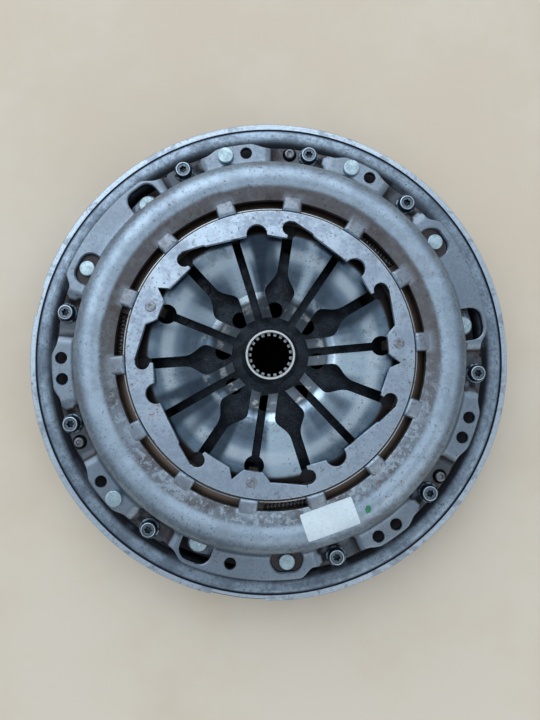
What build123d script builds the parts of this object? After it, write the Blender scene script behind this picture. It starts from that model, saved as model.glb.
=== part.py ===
"""Self-adjusting clutch on a dual-mass flywheel.

The stack, from the crankshaft up: primary flywheel with its arc springs, secondary flywheel,
driven disc, pressure plate on leaf springs, diaphragm spring, wear-adjuster ring and the
pressed cover that holds them down.

Frame: millimetres, Z along the shaft towards the gearbox, Z = 0 on the spring channel's back,
where the clutch rests. X points at 0 degrees of every angle below, counted anticlockwise.
"""

from build123d import *
from math import asin, atan2, cos, degrees, pi, radians, sin, sqrt, tan
import os

# ---------------------------------------------------------------- clearances
FACE_GAP = 0.05  # between faces that are clamped together
RUN_GAP = 0.05  # radial, in a running fit
HOLE_GAP = 0.1  # radial, round a rivet or a bolt
AIR_GAP = 2.0  # between the two masses
TILT_GAP = 0.5  # between the drive plate's arms and the spring stops

# ---------------------------------------------------------------- the sizes that the rest follow
FACING_D = 228.0  # the friction disc
FACING_BORE_D = 150.0

# ---------------------------------------------------------------- secondary flywheel
SECONDARY_T = 8.0
POT_DEPTH = 12.0  # cover seats above the friction face
POT_WALL = 11.0
POT_AIR = 5.5  # round the friction disc
SECONDARY_D = FACING_D + 2 * (POT_AIR + POT_WALL)
STRAP_POCKET = 40.5  # degrees, each of three
HUB_BOSS_D = 72.0
HUB_RECESS = 4.0
HUB_RECESS_D = 144.0
ACCESS_D = 13.0

# ---------------------------------------------------------------- primary flywheel
RIM_W = 19.5  # the first mass outside the second
PRIMARY_D = SECONDARY_D + 2 * RIM_W
LIP_WALL = 3.7
LIP_Z = 41.0
CHANNEL_WALL = 12.0
CHANNEL_FLOOR = 4.5
WEB_T = 5.0
CRANK_RECESS = 3.0  # crank face above the channel's back
CRANK_FLANGE_D = 84.0
CRANK_FLANGE_T = 7.0
CRANK_BORE_D = 30.0
CRANK_PCD = 58.4
CRANK_BOLTS = 8
CRANK_HOLE_D = 11.0
CRANK_ANGLE = 39.3
SPIGOT_WALL = 2.4
SPIGOT_H = 20.0
NOTCH_DEPTH = 1.6
NOTCHES = ((166.5, 7.0), (262.5, 13.0))  # balance notches: angle, width in degrees

# ---------------------------------------------------------------- arc springs
ARC_COIL_D = 20.0
ARC_WIRE = 4.0
ARC_STOP_ANGLE = 24.0
ARC_END_GAP = 1.0
SHELL_T = 2.4
CHANNEL_AIR = 1.6  # outside the shells
CHANNEL_INNER_AIR = 10.0  # inside the springs
ARC_PITCH_D = PRIMARY_D - 2 * (CHANNEL_WALL + CHANNEL_AIR + SHELL_T) - ARC_COIL_D
CHANNEL_INNER_D = ARC_PITCH_D - ARC_COIL_D - 2 * CHANNEL_INNER_AIR

# ---------------------------------------------------------------- primary cover
PCOVER_T = 3.0
PCOVER_LEDGE = 9.0  # inwards past the channel
PCOVER_BORE_D = CHANNEL_INNER_D - 2 * PCOVER_LEDGE
PCOVER_CROWN = 0.7
PCOVER_GROOVE = 0.8
PCOVER_SHOULDER_W = 8.0
PCOVER_ROUND_W = 1.2
PCOVER_ROUND_H = 1.6
PCOVER_WALL_FROM = 4.5  # below the shoulder, where the plate turns straight down
PCOVER_BEND = 2.0

# ---------------------------------------------------------------- bearing
BUSH_WALL = 1.9
WASHER_T = 2.0
WASHER_W = 4.0

# ---------------------------------------------------------------- drive plate
DRIVE_T = 5.0
DRIVE_D = 118.0
DRIVE_RIVETS = 8
DRIVE_RIVET_PCD = 98.0
DRIVE_RIVET_D = 8.0
DRIVE_HEAD_D = 12.0
DRIVE_HEAD_H = 2.0
DRIVE_ARM_ANGLE = 22.0

# ---------------------------------------------------------------- driven disc
FACING_T = 3.4
FACING_GROOVES = 16
GROOVE_W = 1.6
GROOVE_DEPTH = 1.0
CUSHION_T = 1.0
SEGMENTS = 8
SEGMENT_GAP = 2.0
SEGMENT_FOOT_D = 104.0
SEGMENT_PCD = 116.0
SEGMENT_RIVET_D = 4.0
SEGMENT_ANGLE = -1.0
FACING_RIVET_D = 4.0
FACING_MARGIN = 22.0  # from the facing's edges to its rivet circles, on the diameter
FACING_RIVET_PCDS = (FACING_BORE_D + FACING_MARGIN, FACING_D - FACING_MARGIN)
DISC_WEB_D = 132.0
DISC_WEB_T = 2.0
DISC_HOLE_D = 10.0
HUB_D = 31.4
HUB_NOSE_D = 29.2
HUB_NOSE_L = 3.0
HUB_ABOVE = 17.5  # above the web
HUB_BELOW = 9.5  # below the web
HUB_FLANGE_D = 47.0
HUB_FLANGE_T = 2.5
HUB_STAKE_W = 2.0
HUB_STAKE_H = 1.0
SPLINES = 21
SPLINE_MINOR_D = 22.7
SPLINE_MAJOR_D = 26.2

# ---------------------------------------------------------------- pressure plate
PLATE_D = FACING_D + 1
PLATE_BORE_D = FACING_BORE_D - 2
PLATE_T = 11.0
PLATE_STEP_W = 4.0  # clears the leaf springs
PLATE_BACK_D = PLATE_D - 2 * PLATE_STEP_W
PLATE_STEP_H = 3.6
RIDGE_D = 196.0
RIDGE_W = 5.0
RIDGE_H = 6.0
RIDGE_CUTS = 14
PLATE_LUG_T = 4.2
PLATE_LUG_W = 17.0
PLATE_LUG_MARGIN = 6.5  # metal beyond the rivet's axis

# ---------------------------------------------------------------- cover
COVER_T = 3.5
BEAD_AIR = 4.2  # from the pressure plate to the bead's outside
BEAD_D = PLATE_D + 2 * BEAD_AIR
BEAD_DRAFT = 15.0  # degrees
SHOULDER_R = 11.5
SLOPE_ANGLE = 12.0  # from the crest down to the windows
CROWN = 0.9  # crest above the ribs
WINDOW_D = 176.8
INNER_FLANGE_D = 168.0
COVER_BORE_D = 153.6
RIBS = 14
RIB_W = 11.2
RIB_L = 3.7  # along the bead, beyond the windows
RIB_ANGLE = 4.5
LAND_RISE = 4.5  # lands above the bolt seats
NOTCH_D = SECONDARY_D - 6.6  # between a land and the seat beside it
FLANGE_D = SECONDARY_D - 3.2
PAD_D = SECONDARY_D - 0.6
LAND_D = SECONDARY_D + 3.6
LAND_RAMP = 6.0
LAND_SPANS = ((3.4, 41.6),)
PAD_SPANS = ((56.6, 72.4), (91.6, 107.9))
SEAT_SPANS = ((45.4, 51.6), (76.6, 86.4), (112.4, 118.2))  # of the flange's edge
EDGE_ROUND = 2.4  # degrees, from a land's end to its full width
BALANCE_ANGLES = (60.8, 66.6, 96.8, 102.6)
BALANCE_PCD = PAD_D - 11.6
BALANCE_HOLE_D = 6.8
BALANCE_RIVET_ANGLES = (66.6, 102.6, 222.6)
EXTRA_BALANCE_ANGLE = 259.1
RIVET_HEAD_D = 9.8
RIVET_HEAD_H = 2.2

# ---------------------------------------------------------------- cover bolts and dowels
BOLT_PCD = SECONDARY_D - POT_WALL  # the middle of the pot's wall
BOLT_D = 7.0
BOLT_ANGLES = (48.2, 79.1, 115.1)
BOLT_L = 9.5  # in the flywheel
BOLT_FLANGE_D = 12.2
BOLT_FLANGE_H = 1.5
BOLT_HEAD_D = 8.8
BOLT_HEAD_H = 5.2
BOLT_SOCKET_D = 5.6
BOLT_SOCKET_DEPTH = 2.6
DOWEL_D = 6.0
DOWEL_ANGLE = 84.5
DOWEL_L = 8.0  # in the flywheel
DOWEL_PROUD = 2.2

# ---------------------------------------------------------------- leaf springs
LEAF_T = 0.9
LEAVES = 2
LEAF_W = 13.0
LEAF_RIVET_D = 5.5
LEAF_COVER_ANGLE = 34.6
LEAF_COVER_R = BEAD_D / 2 + 3.3
LEAF_PLATE_ANGLE = 9.0
LEAF_PLATE_R = BEAD_D / 2 + 0.3
PLATE_RIVET_HEAD_D = 11.0
PLATE_RIVET_TAIL_D = 9.0
RIVET_WINDOW_W = 19.6
RIVET_WINDOW_R = LAND_D / 2 - 2.7
RIVET_WINDOW_CORNER = 6.5
RIVET_AIR = 0.8  # round a rivet that moves in its window
RECESS_W = 13.4
RECESS_R = LEAF_COVER_R - 1
RECESS_REACH = 1.4  # degrees, each way from the rivet

# ---------------------------------------------------------------- diaphragm and sensor springs
DIAPHRAGM_D = 198.0
DIAPHRAGM_T = 2.6
TIP_D = 46.2
TIP_DROP = 10.0  # fingertips below the flat body
BODY_FLAT_D = 142.0
SHANK_D = 71.0  # where the narrow fingers begin
SHANK_DROP = 5.2
TIP_PAD_D = 62.0  # outer edge of the flat pad that the bearing pushes on
TIP_PAD_DROP = 8.8
FINGER_PAIRS = 7
PAIR_ANGLE = 4.5
PAIR_W = 16.0
NARROW_SLOT_W = 4.8
WIDE_SLOT_W = 6.2
FLARE_D = 103.0  # where a wide slot has narrowed to its full length's width
FLARE_SOFTNESS = (1.2, 1.5)  # of the curve's two ends
SLOT_END_D = 9.8
SLOT_END_PCD = 148.0
LUG_SLOT_END_D = 11.6
LUG_SLOT_PCD = 130.4
SENSOR_T = 1.8
SENSOR_D = 162.0
SENSOR_BORE_D = 140.0
SENSOR_RISE = 0.4

# ---------------------------------------------------------------- support ring and hooks
SUPPORT_T = 3.0
SUPPORT_D = 163.4
KEYHOLE_R = 72.4
KEYHOLE_D = 8.2
KEYHOLE_ANGLE = 29.9
TOOTH_R = 66.4
SCALLOP_R = 68.2
SCALLOP_D = 11.8
SCALLOP_AFTER = 15.3  # degrees past a keyhole
SCALLOP_HALF = 3.0  # degrees
TOOTH_AFTER = 0.6  # degrees past a keyhole
FLAT_R = 71.5
STEP_R = 72.6
STEP_BEFORE = 10.7  # degrees before the next keyhole
STEP_W = 0.8  # degrees
KEY_EDGE = 1.2  # degrees, from the ring's plain edge to a keyhole's axis
KEYHOLE_WALL = 4.9  # metal left outside a keyhole
LUG_TIP_R = 67.0
LUG_HALF = 5.8  # degrees
LUG_ROUND = 1.4  # degrees, of a lug's corners
LUG_ROUND_R = 1.6
LUG_FOOT = 3.0  # degrees, from a lug's side to the notch beside it
LUG_STEP = 2.5  # degrees, from a lug's other side to the plain edge
LUG_NOTCH_R = 73.8
LUG_PAIRS = (0, 3, 5)  # the finger pairs that a lug stands over
LUG_RIVET_R = 72.8
LUG_RIVET_D = 3.8
LUG_HEAD_D = 6.3
LUG_HEAD_H = 0.4
HOOK_T = 2.2
HOOK_W = 5.5
HOOK_LEG_R = 66.6
HOOK_TOE = 4.4

# ---------------------------------------------------------------- adjuster
ADJUSTER_D = 168.0
ADJUSTER_BORE_D = 154.0
ADJUSTER_T = 2.3
RAMP_RISE = 2.0
RAMP_ANGLE = 11.0
RAMP_W = 5.0
RAMP_START = 12.0
EAR_W = 3.0
EAR_ROOT = 0.2  # inside the ring's rim
COIL_RIBS = (2, 7, 11)  # the ribs that the springs push on
COIL_D = 4.0
COIL_WIRE = 0.7
COIL_AIR = 0.5  # round the spring
COIL_ANGLE = 20.0  # from an ear to its stop

# ---------------------------------------------------------------- levels, worked out
THIRDS = (0, 120, 240)
ARC_Z = CHANNEL_FLOOR + FACE_GAP + ARC_COIL_D / 2
PCOVER_UNDER_Z = ARC_Z + ARC_COIL_D / 2 + FACE_GAP
CRANK_TOP_Z = CRANK_RECESS + CRANK_FLANGE_T
SHELF_Z = LIP_Z - PCOVER_T - PCOVER_CROWN + 0.2
SECONDARY_UNDER_Z = PCOVER_UNDER_Z + PCOVER_T + AIR_GAP
FRICTION_Z = SECONDARY_UNDER_Z + SECONDARY_T
SEAT_Z = FRICTION_Z + POT_DEPTH
HUB_TOP_Z = FRICTION_Z - HUB_RECESS
HUB_UNDER_Z = CRANK_TOP_Z + WASHER_T + FACE_GAP
DRIVE_Z = ARC_Z - DRIVE_T / 2
DRIVE_TOP_Z = DRIVE_Z + DRIVE_T
CUSHION_Z = FRICTION_Z + FACE_GAP + FACING_T
WEB_Z = CUSHION_Z + CUSHION_T
PLATE_Z = WEB_Z + FACING_T + FACE_GAP
PLATE_BACK_Z = PLATE_Z + PLATE_T
DIAPHRAGM_Z = PLATE_BACK_Z + RIDGE_H + FACE_GAP
DIAPHRAGM_TOP_Z = DIAPHRAGM_Z + DIAPHRAGM_T
ADJUSTER_Z = DIAPHRAGM_TOP_Z + FACE_GAP
RAMP_Z = ADJUSTER_Z + ADJUSTER_T
FLANGE_UNDER_Z = RAMP_Z + RAMP_RISE + FACE_GAP
FLANGE_TOP_Z = FLANGE_UNDER_Z + COVER_T
SUPPORT_TOP_Z = FLANGE_TOP_Z + FACE_GAP + SUPPORT_T
CREST_Z = SUPPORT_TOP_Z + CROWN
SEAT_TOP_Z = SEAT_Z + COVER_T
LAND_TOP_Z = SEAT_TOP_Z + LAND_RISE
LAND_UNDER_Z = LAND_TOP_Z - COVER_T
LEAF_Z = PLATE_Z + PLATE_LUG_T
LEAF_TOP_Z = LEAF_Z + LEAVES * LEAF_T
SENSOR_TOP_Z = DIAPHRAGM_Z - FACE_GAP
HOOK_TOE_Z = SENSOR_TOP_Z - SENSOR_T - SENSOR_RISE - FACE_GAP - HOOK_T

# ---------------------------------------------------------------- radii, worked out
PRIMARY_R = PRIMARY_D / 2
LIP_R = PRIMARY_R - LIP_WALL
CHANNEL_R = PRIMARY_R - CHANNEL_WALL
BORE_R = CRANK_BORE_D / 2
SPIGOT_R = BORE_R + SPIGOT_WALL
BUSH_R = SPIGOT_R + BUSH_WALL
HUB_BORE_R = BUSH_R + RUN_GAP
ARC_R = ARC_PITCH_D / 2
BOLT_R = BOLT_PCD / 2
BEAD_R = BEAD_D / 2
SHOULDER_Z = CREST_Z - SHOULDER_R
WALL_LEAN = tan(radians(BEAD_DRAFT))
WALL_TOP_Z = SHOULDER_Z + SHOULDER_R * sin(radians(BEAD_DRAFT))
CREST_R = BEAD_R - SHOULDER_R * cos(radians(BEAD_DRAFT)) - (WALL_TOP_Z - SEAT_Z) * WALL_LEAN
PAIR_STEP = 360 / FINGER_PAIRS


def at(radius, angle, z=0.0):
    """The place at a radius and an angle, with X turned to point outwards."""
    return Rot(0, 0, angle) * Pos(radius, 0, z)


def ring(r_in, r_out, z_low, z_high):
    """A flat ring between two heights."""
    return Pos(0, 0, z_low) * extrude(Circle(r_out) - Circle(r_in), z_high - z_low)


def rod(diameter, z_low, z_high):
    """A round bar on Z."""
    return Pos(0, 0, z_low) * extrude(Circle(diameter / 2), z_high - z_low)


def turned(*points):
    """A turned form from the (radius, z) corners of its section."""
    return revolve(Plane.XZ * make_face(Polyline(*points, close=True)), Axis.Z)


def sector(r_in, r_out, a_from, a_to, z_low, z_high):
    """Part of a ring between two angles."""
    section = Pos((r_in + r_out) / 2, (z_low + z_high) / 2) * Rectangle(r_out - r_in, z_high - z_low)
    return Rot(0, 0, a_from) * revolve(Plane.XZ * section, Axis.Z, a_to - a_from)


def rivet(shank_d, z_low, z_high, head_d, head_h, tail_d=None, tail_h=None):
    """A closed rivet: its shank between two faces, with a head above and a tail below."""
    tail_d = tail_d or head_d
    tail_h = tail_h or head_h
    body = rod(shank_d, z_low, z_high)
    head = rod(head_d, z_high, z_high + head_h)
    head = chamfer(head.edges().group_by(Axis.Z)[-1], head_h * 0.3)
    return body + head + rod(tail_d, z_low - tail_h, z_low)


def copies(solid, angles):
    """Separate copies of a solid, turned about the shaft."""
    return Compound(children=[Rot(0, 0, angle) * solid for angle in angles])


def spaced(count, first=0.0):
    """Evenly spaced angles round the shaft."""
    return [first + 360 * step / count for step in range(count)]


def in_thirds(angles):
    """Angles given for one third of the cover, repeated in all three."""
    return [third + angle for third in THIRDS for angle in angles]


def bored(solid, diameter, places, z_low=-1.0, z_high=None):
    """A solid with round holes at (radius, angle) places."""
    return solid - drills(diameter, places, z_low, z_high)


def drills(diameter, places, z_low=-1.0, z_high=None):
    """Round bars at (radius, angle) places, to cut holes with."""
    drill = rod(diameter, z_low, z_high or CREST_Z + 1)
    return [at(radius, angle) * drill for radius, angle in places]


# ================================================================ primary mass
def arc_stop(z_low, z_high):
    """A block that the ends of both arc springs bear on."""
    half = ARC_STOP_ANGLE / 2
    return sector(ARC_R - ARC_COIL_D * 0.4, ARC_R + ARC_COIL_D * 0.4, -half, half, z_low, z_high)


def primary_flywheel():
    web_top = CRANK_RECESS + WEB_T
    inner = CHANNEL_INNER_D / 2
    chamfer_w = 2.0
    body = turned(
        (BORE_R, CRANK_RECESS),
        (inner - CRANK_RECESS, CRANK_RECESS),
        (inner, 0),
        (PRIMARY_R - 2 * chamfer_w, 0),
        (PRIMARY_R, 2 * chamfer_w),
        (PRIMARY_R, LIP_Z - chamfer_w / 4),
        (PRIMARY_R - chamfer_w / 4, LIP_Z),
        (LIP_R, LIP_Z),
        (LIP_R, SHELF_Z),
        (CHANNEL_R, SHELF_Z),
        (CHANNEL_R, CHANNEL_FLOOR + chamfer_w),
        (CHANNEL_R - chamfer_w, CHANNEL_FLOOR),
        (inner + chamfer_w, CHANNEL_FLOOR),
        (inner, web_top),
        (CRANK_FLANGE_D / 2, web_top),
        (CRANK_FLANGE_D / 2 - 1, CRANK_TOP_Z),
        (SPIGOT_R, CRANK_TOP_Z),
        (SPIGOT_R, CRANK_TOP_Z + SPIGOT_H),
        (BORE_R, CRANK_TOP_Z + SPIGOT_H),
    )
    for angle in (0, 180):
        body += Rot(0, 0, angle) * arc_stop(CHANNEL_FLOOR - 1, DRIVE_Z - TILT_GAP)
    holes = [(CRANK_PCD / 2, angle) for angle in spaced(CRANK_BOLTS, CRANK_ANGLE)]
    body = bored(body, CRANK_HOLE_D, holes)
    for angle, width in NOTCHES:
        body -= sector(
            PRIMARY_R - NOTCH_DEPTH,
            PRIMARY_R + 1,
            angle - width / 2,
            angle + width / 2,
            LIP_Z - NOTCH_DEPTH * 2,
            LIP_Z + 1,
        )
    return body


def primary_cover():
    """The pressed plate welded inside the lip, which closes the spring channel."""
    wall = SECONDARY_D / 2 + AIR_GAP
    top = SHELF_Z + PCOVER_T
    edge = LIP_R - FACE_GAP
    shoulder = edge - PCOVER_SHOULDER_W
    floor = PCOVER_UNDER_Z + PCOVER_T
    wall_top = top - PCOVER_WALL_FROM
    outline = [
        Line((edge, SHELF_Z), (edge, top - PCOVER_GROOVE)),
        ThreePointArc(
            (edge, top - PCOVER_GROOVE), ((edge + shoulder) / 2, top + PCOVER_CROWN), (shoulder, top)
        ),
        ThreePointArc(
            (shoulder, top), (wall + PCOVER_ROUND_W, top - PCOVER_ROUND_H), (wall, wall_top)
        ),
        Polyline(
            (wall, wall_top),
            (wall, floor),
            (PCOVER_BORE_D / 2, floor),
            (PCOVER_BORE_D / 2, PCOVER_UNDER_Z),
            (wall + PCOVER_T, PCOVER_UNDER_Z),
            (wall + PCOVER_T, SHELF_Z - PCOVER_BEND),
            (wall + PCOVER_T + PCOVER_BEND, SHELF_Z),
            (edge, SHELF_Z),
        ),
    ]
    body = revolve(Plane.XZ * make_face(outline), Axis.Z)
    for angle in (0, 180):
        body += Rot(0, 0, angle) * arc_stop(DRIVE_TOP_Z + TILT_GAP, PCOVER_UNDER_Z + 1)
    return body


def arc_span():
    """The angle that each arc spring fills, and where it begins."""
    start = ARC_STOP_ANGLE / 2 + degrees(ARC_END_GAP / ARC_R)
    return start, 180 - 2 * start


def arc_springs():
    start, span = arc_span()
    section = Circle(ARC_COIL_D / 2) - Circle(ARC_COIL_D / 2 - ARC_WIRE)
    tube = revolve(Plane.XZ * Pos(ARC_R, ARC_Z) * section, Axis.Z, span)
    return copies(tube, (start, start + 180))


def spring_shells():
    """Slide shells that line the channel outside the arc springs."""
    start, span = arc_span()
    inner = ARC_COIL_D / 2 + FACE_GAP
    section = Circle(inner + SHELL_T) - Circle(inner)
    section &= Pos(inner + SHELL_T, 0) * Rectangle(inner, ARC_COIL_D - 2)
    shell = revolve(Plane.XZ * Pos(ARC_R, ARC_Z) * section, Axis.Z, span)
    return copies(shell, (start, start + 180))


def pilot_bush():
    return ring(SPIGOT_R, BUSH_R, CRANK_TOP_Z + WASHER_T, CRANK_TOP_Z + SPIGOT_H)


def thrust_washer():
    return ring(SPIGOT_R + RUN_GAP, SPIGOT_R + WASHER_W, CRANK_TOP_Z, CRANK_TOP_Z + WASHER_T)


# ================================================================ secondary mass
def secondary_flywheel():
    outer = SECONDARY_D / 2
    boss = HUB_BOSS_D / 2
    recess = HUB_RECESS_D / 2
    collar = DRIVE_D / 2
    bevel = 1.5
    body = turned(
        (HUB_BORE_R, HUB_UNDER_Z),
        (boss, HUB_UNDER_Z),
        (boss, DRIVE_TOP_Z),
        (collar, DRIVE_TOP_Z),
        (collar, SECONDARY_UNDER_Z - bevel),
        (collar + bevel, SECONDARY_UNDER_Z),
        (outer - bevel, SECONDARY_UNDER_Z),
        (outer, SECONDARY_UNDER_Z + bevel),
        (outer, SEAT_Z),
        (outer - POT_WALL, SEAT_Z),
        (outer - POT_WALL, FRICTION_Z),
        (recess, FRICTION_Z),
        (recess - HUB_RECESS, HUB_TOP_Z),
        (HUB_BORE_R, HUB_TOP_Z),
    )
    land_from, land_to = LAND_SPANS[0]
    middle = (land_from + land_to) / 2
    for third in THIRDS:
        start = third + middle - STRAP_POCKET / 2
        body -= sector(outer - POT_WALL - 1, outer + 1, start, start + STRAP_POCKET, FRICTION_Z, SEAT_Z + 1)
    body = bored(body, ACCESS_D, [(CRANK_PCD / 2, a) for a in spaced(CRANK_BOLTS, CRANK_ANGLE)])
    body = bored(body, DRIVE_RIVET_D, drive_rivet_places())
    body = bored(body, BOLT_D, [(BOLT_R, a) for a in in_thirds(BOLT_ANGLES)], SEAT_Z - BOLT_L - 1)
    return bored(body, DOWEL_D, [(BOLT_R, a) for a in in_thirds([DOWEL_ANGLE])], SEAT_Z - DOWEL_L)


def drive_rivet_places():
    first = CRANK_ANGLE + 180 / CRANK_BOLTS
    return [(DRIVE_RIVET_PCD / 2, angle) for angle in spaced(DRIVE_RIVETS, first)]


def drive_plate():
    """The two-armed plate that the arc springs push on."""
    arms = Sketch()
    reach = ARC_R + ARC_COIL_D * 0.4
    half = radians(DRIVE_ARM_ANGLE / 2)
    for side in (1, -1):
        tip = reach * sin(half)
        arms += make_face(
            Polyline(
                (0, -DRIVE_D * 0.3),
                (side * reach * 0.8, -tip * 0.8),
                (side * reach, -tip),
                (side * reach, tip),
                (side * reach * 0.8, tip * 0.8),
                (0, DRIVE_D * 0.3),
                close=True,
            )
        )
    plate = (Circle(DRIVE_D / 2) + arms) & Circle(reach)
    plate -= Circle(HUB_BOSS_D / 2 + FACE_GAP)
    body = Pos(0, 0, DRIVE_Z) * extrude(plate, DRIVE_T)
    return bored(body, DRIVE_RIVET_D, drive_rivet_places())


def drive_plate_rivets():
    radius, first = drive_rivet_places()[0]
    one = rivet(DRIVE_RIVET_D, DRIVE_Z, HUB_TOP_Z, DRIVE_HEAD_D, DRIVE_HEAD_H)
    return copies(Pos(radius, 0, 0) * one, spaced(DRIVE_RIVETS, first))


# ================================================================ driven disc
def spline_section():
    """The bore of the hub: a round hole with a slot for every tooth of the shaft."""
    root = SPLINE_MAJOR_D / 2
    slot_w = pi * (SPLINE_MAJOR_D + SPLINE_MINOR_D) / 4 / SPLINES
    bore = Circle(SPLINE_MINOR_D / 2)
    for angle in spaced(SPLINES):
        bore += Rot(0, 0, angle) * Pos(root / 2, 0) * Rectangle(root, slot_w)
    return bore & Circle(root)


def disc_hub():
    low = WEB_Z - HUB_BELOW
    high = WEB_Z + DISC_WEB_T + HUB_ABOVE
    outer = HUB_D / 2
    flange = HUB_FLANGE_D / 2
    web_top = WEB_Z + DISC_WEB_T
    body = turned(
        (0, low),
        (outer - 1, low),
        (outer, low + 1),
        (outer, WEB_Z - HUB_FLANGE_T),
        (flange, WEB_Z - HUB_FLANGE_T),
        (flange, WEB_Z),
        (outer, WEB_Z),
        (outer, web_top),
        (outer + HUB_STAKE_W, web_top),
        (outer, web_top + HUB_STAKE_H),
        (outer, high - HUB_NOSE_L),
        (HUB_NOSE_D / 2, high - HUB_NOSE_L + 1),
        (HUB_NOSE_D / 2, high),
        (0, high),
    )
    body -= Pos(0, 0, low - 1) * extrude(spline_section(), high - low + 2)
    mouth = Cone(SPLINE_MAJOR_D / 2 - 1, SPLINE_MAJOR_D / 2 + 0.4, 1.4)
    return body - Pos(0, 0, high - 0.7) * mouth


def disc_web():
    body = ring(HUB_D / 2, DISC_WEB_D / 2, WEB_Z, WEB_Z + DISC_WEB_T)
    body = bored(body, DISC_HOLE_D, [(CRANK_PCD / 2, a) for a in spaced(CRANK_BOLTS, CRANK_ANGLE)])
    return bored(body, SEGMENT_RIVET_D, segment_rivet_places())


def segment_rivet_places():
    return [(SEGMENT_PCD / 2, angle) for angle in spaced(2 * SEGMENTS, SEGMENT_ANGLE)]


def facing_rivet_places():
    """Two rivets a segment, one on each circle, either side of its middle."""
    inner, outer = FACING_RIVET_PCDS
    middle = SEGMENT_ANGLE + 90 / SEGMENTS
    swing = 360 / SEGMENTS / 4
    places = []
    for angle in spaced(SEGMENTS, middle):
        places.append((inner / 2, angle - swing))
        places.append((outer / 2, angle + swing))
    return places


def cushion_segments():
    """Spring-steel segments between the two facings, flat here."""
    wide = 360 / SEGMENTS - degrees(SEGMENT_GAP / (FACING_D / 2))
    high = CUSHION_Z + CUSHION_T
    blade = sector(FACING_BORE_D / 2, FACING_D / 2 - 1, -wide / 2, wide / 2, CUSHION_Z, high)
    foot_half = wide * 0.42
    foot = sector(SEGMENT_FOOT_D / 2, FACING_BORE_D / 2 + 1, -foot_half, foot_half, CUSHION_Z, high)
    body = copies(blade + foot, spaced(SEGMENTS, SEGMENT_ANGLE + 90 / SEGMENTS))
    body = bored(body, SEGMENT_RIVET_D, segment_rivet_places())
    return bored(body, FACING_RIVET_D, facing_rivet_places())


def segment_rivets():
    one = rivet(SEGMENT_RIVET_D, CUSHION_Z, WEB_Z + DISC_WEB_T, SEGMENT_RIVET_D * 1.7, 1.4)
    return copies(Pos(SEGMENT_PCD / 2, 0, 0) * one, spaced(2 * SEGMENTS, SEGMENT_ANGLE))


def facing(z_low, groove_z):
    body = ring(FACING_BORE_D / 2, FACING_D / 2, z_low, z_low + FACING_T)
    reach = (FACING_D - FACING_BORE_D) / 2 + 2
    middle = (FACING_D + FACING_BORE_D) / 4
    for angle in spaced(FACING_GROOVES, SEGMENT_ANGLE + 180 / FACING_GROOVES):
        body -= at(middle, angle, groove_z) * Box(reach, GROOVE_W, 2 * GROOVE_DEPTH)
    return bored(body, FACING_RIVET_D + 2 * HOLE_GAP, facing_rivet_places())


def facing_engine_side():
    return facing(CUSHION_Z - FACING_T, CUSHION_Z - FACING_T)


def facing_gearbox_side():
    return facing(WEB_Z, WEB_Z + FACING_T)


def facing_rivets():
    sink = FACING_T / 2
    one = rod(FACING_RIVET_D, CUSHION_Z - sink, WEB_Z + sink)
    rivets = [at(radius, angle) * one for radius, angle in facing_rivet_places()]
    return Compound(children=rivets)


# ================================================================ pressure plate
def pressure_plate():
    outer = PLATE_D / 2
    back = PLATE_BACK_D / 2
    inner = PLATE_BORE_D / 2
    ridge = RIDGE_D / 2
    half = RIDGE_W / 2
    body = turned(
        (inner, PLATE_Z),
        (outer, PLATE_Z),
        (outer, PLATE_Z + PLATE_STEP_H),
        (back, PLATE_Z + PLATE_STEP_H),
        (back, PLATE_BACK_Z - 2),
        (back - 2, PLATE_BACK_Z),
        (ridge + half + 1, PLATE_BACK_Z),
        (ridge + half / 2, PLATE_BACK_Z + RIDGE_H),
        (ridge - half / 2, PLATE_BACK_Z + RIDGE_H),
        (ridge - half - 1, PLATE_BACK_Z),
        (inner + 3, PLATE_BACK_Z),
        (inner, PLATE_BACK_Z - 2),
    )
    gap = Box(RIDGE_W * 3, RIDGE_W * 1.6, RIDGE_H * 2)
    for angle in spaced(RIDGE_CUTS):
        body -= at(ridge, angle, PLATE_BACK_Z + RIDGE_H * 1.4) * gap
    reach = LEAF_PLATE_R + PLATE_LUG_MARGIN
    lug = Pos((outer - 4 + reach) / 2, 0) * RectangleRounded(reach - outer + 4, PLATE_LUG_W, 3)
    for angle in in_thirds([LEAF_PLATE_ANGLE]):
        body += at(0, angle, PLATE_Z) * extrude(lug, PLATE_LUG_T)
    return bored(body, LEAF_RIVET_D, [(LEAF_PLATE_R, a) for a in in_thirds([LEAF_PLATE_ANGLE])])


def strap_plate_rivets():
    head_d = PLATE_RIVET_HEAD_D
    one = rivet(LEAF_RIVET_D, PLATE_Z, LEAF_TOP_Z, head_d, RIVET_HEAD_H, PLATE_RIVET_TAIL_D)
    return copies(Pos(LEAF_PLATE_R, 0, 0) * one, in_thirds([LEAF_PLATE_ANGLE]))


def leaf_ends():
    """The centres of a leaf pack's two rivets, in plan."""
    places = []
    for radius, angle in ((LEAF_PLATE_R, LEAF_PLATE_ANGLE), (LEAF_COVER_R, LEAF_COVER_ANGLE)):
        places.append((radius * cos(radians(angle)), radius * sin(radians(angle))))
    return places


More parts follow.
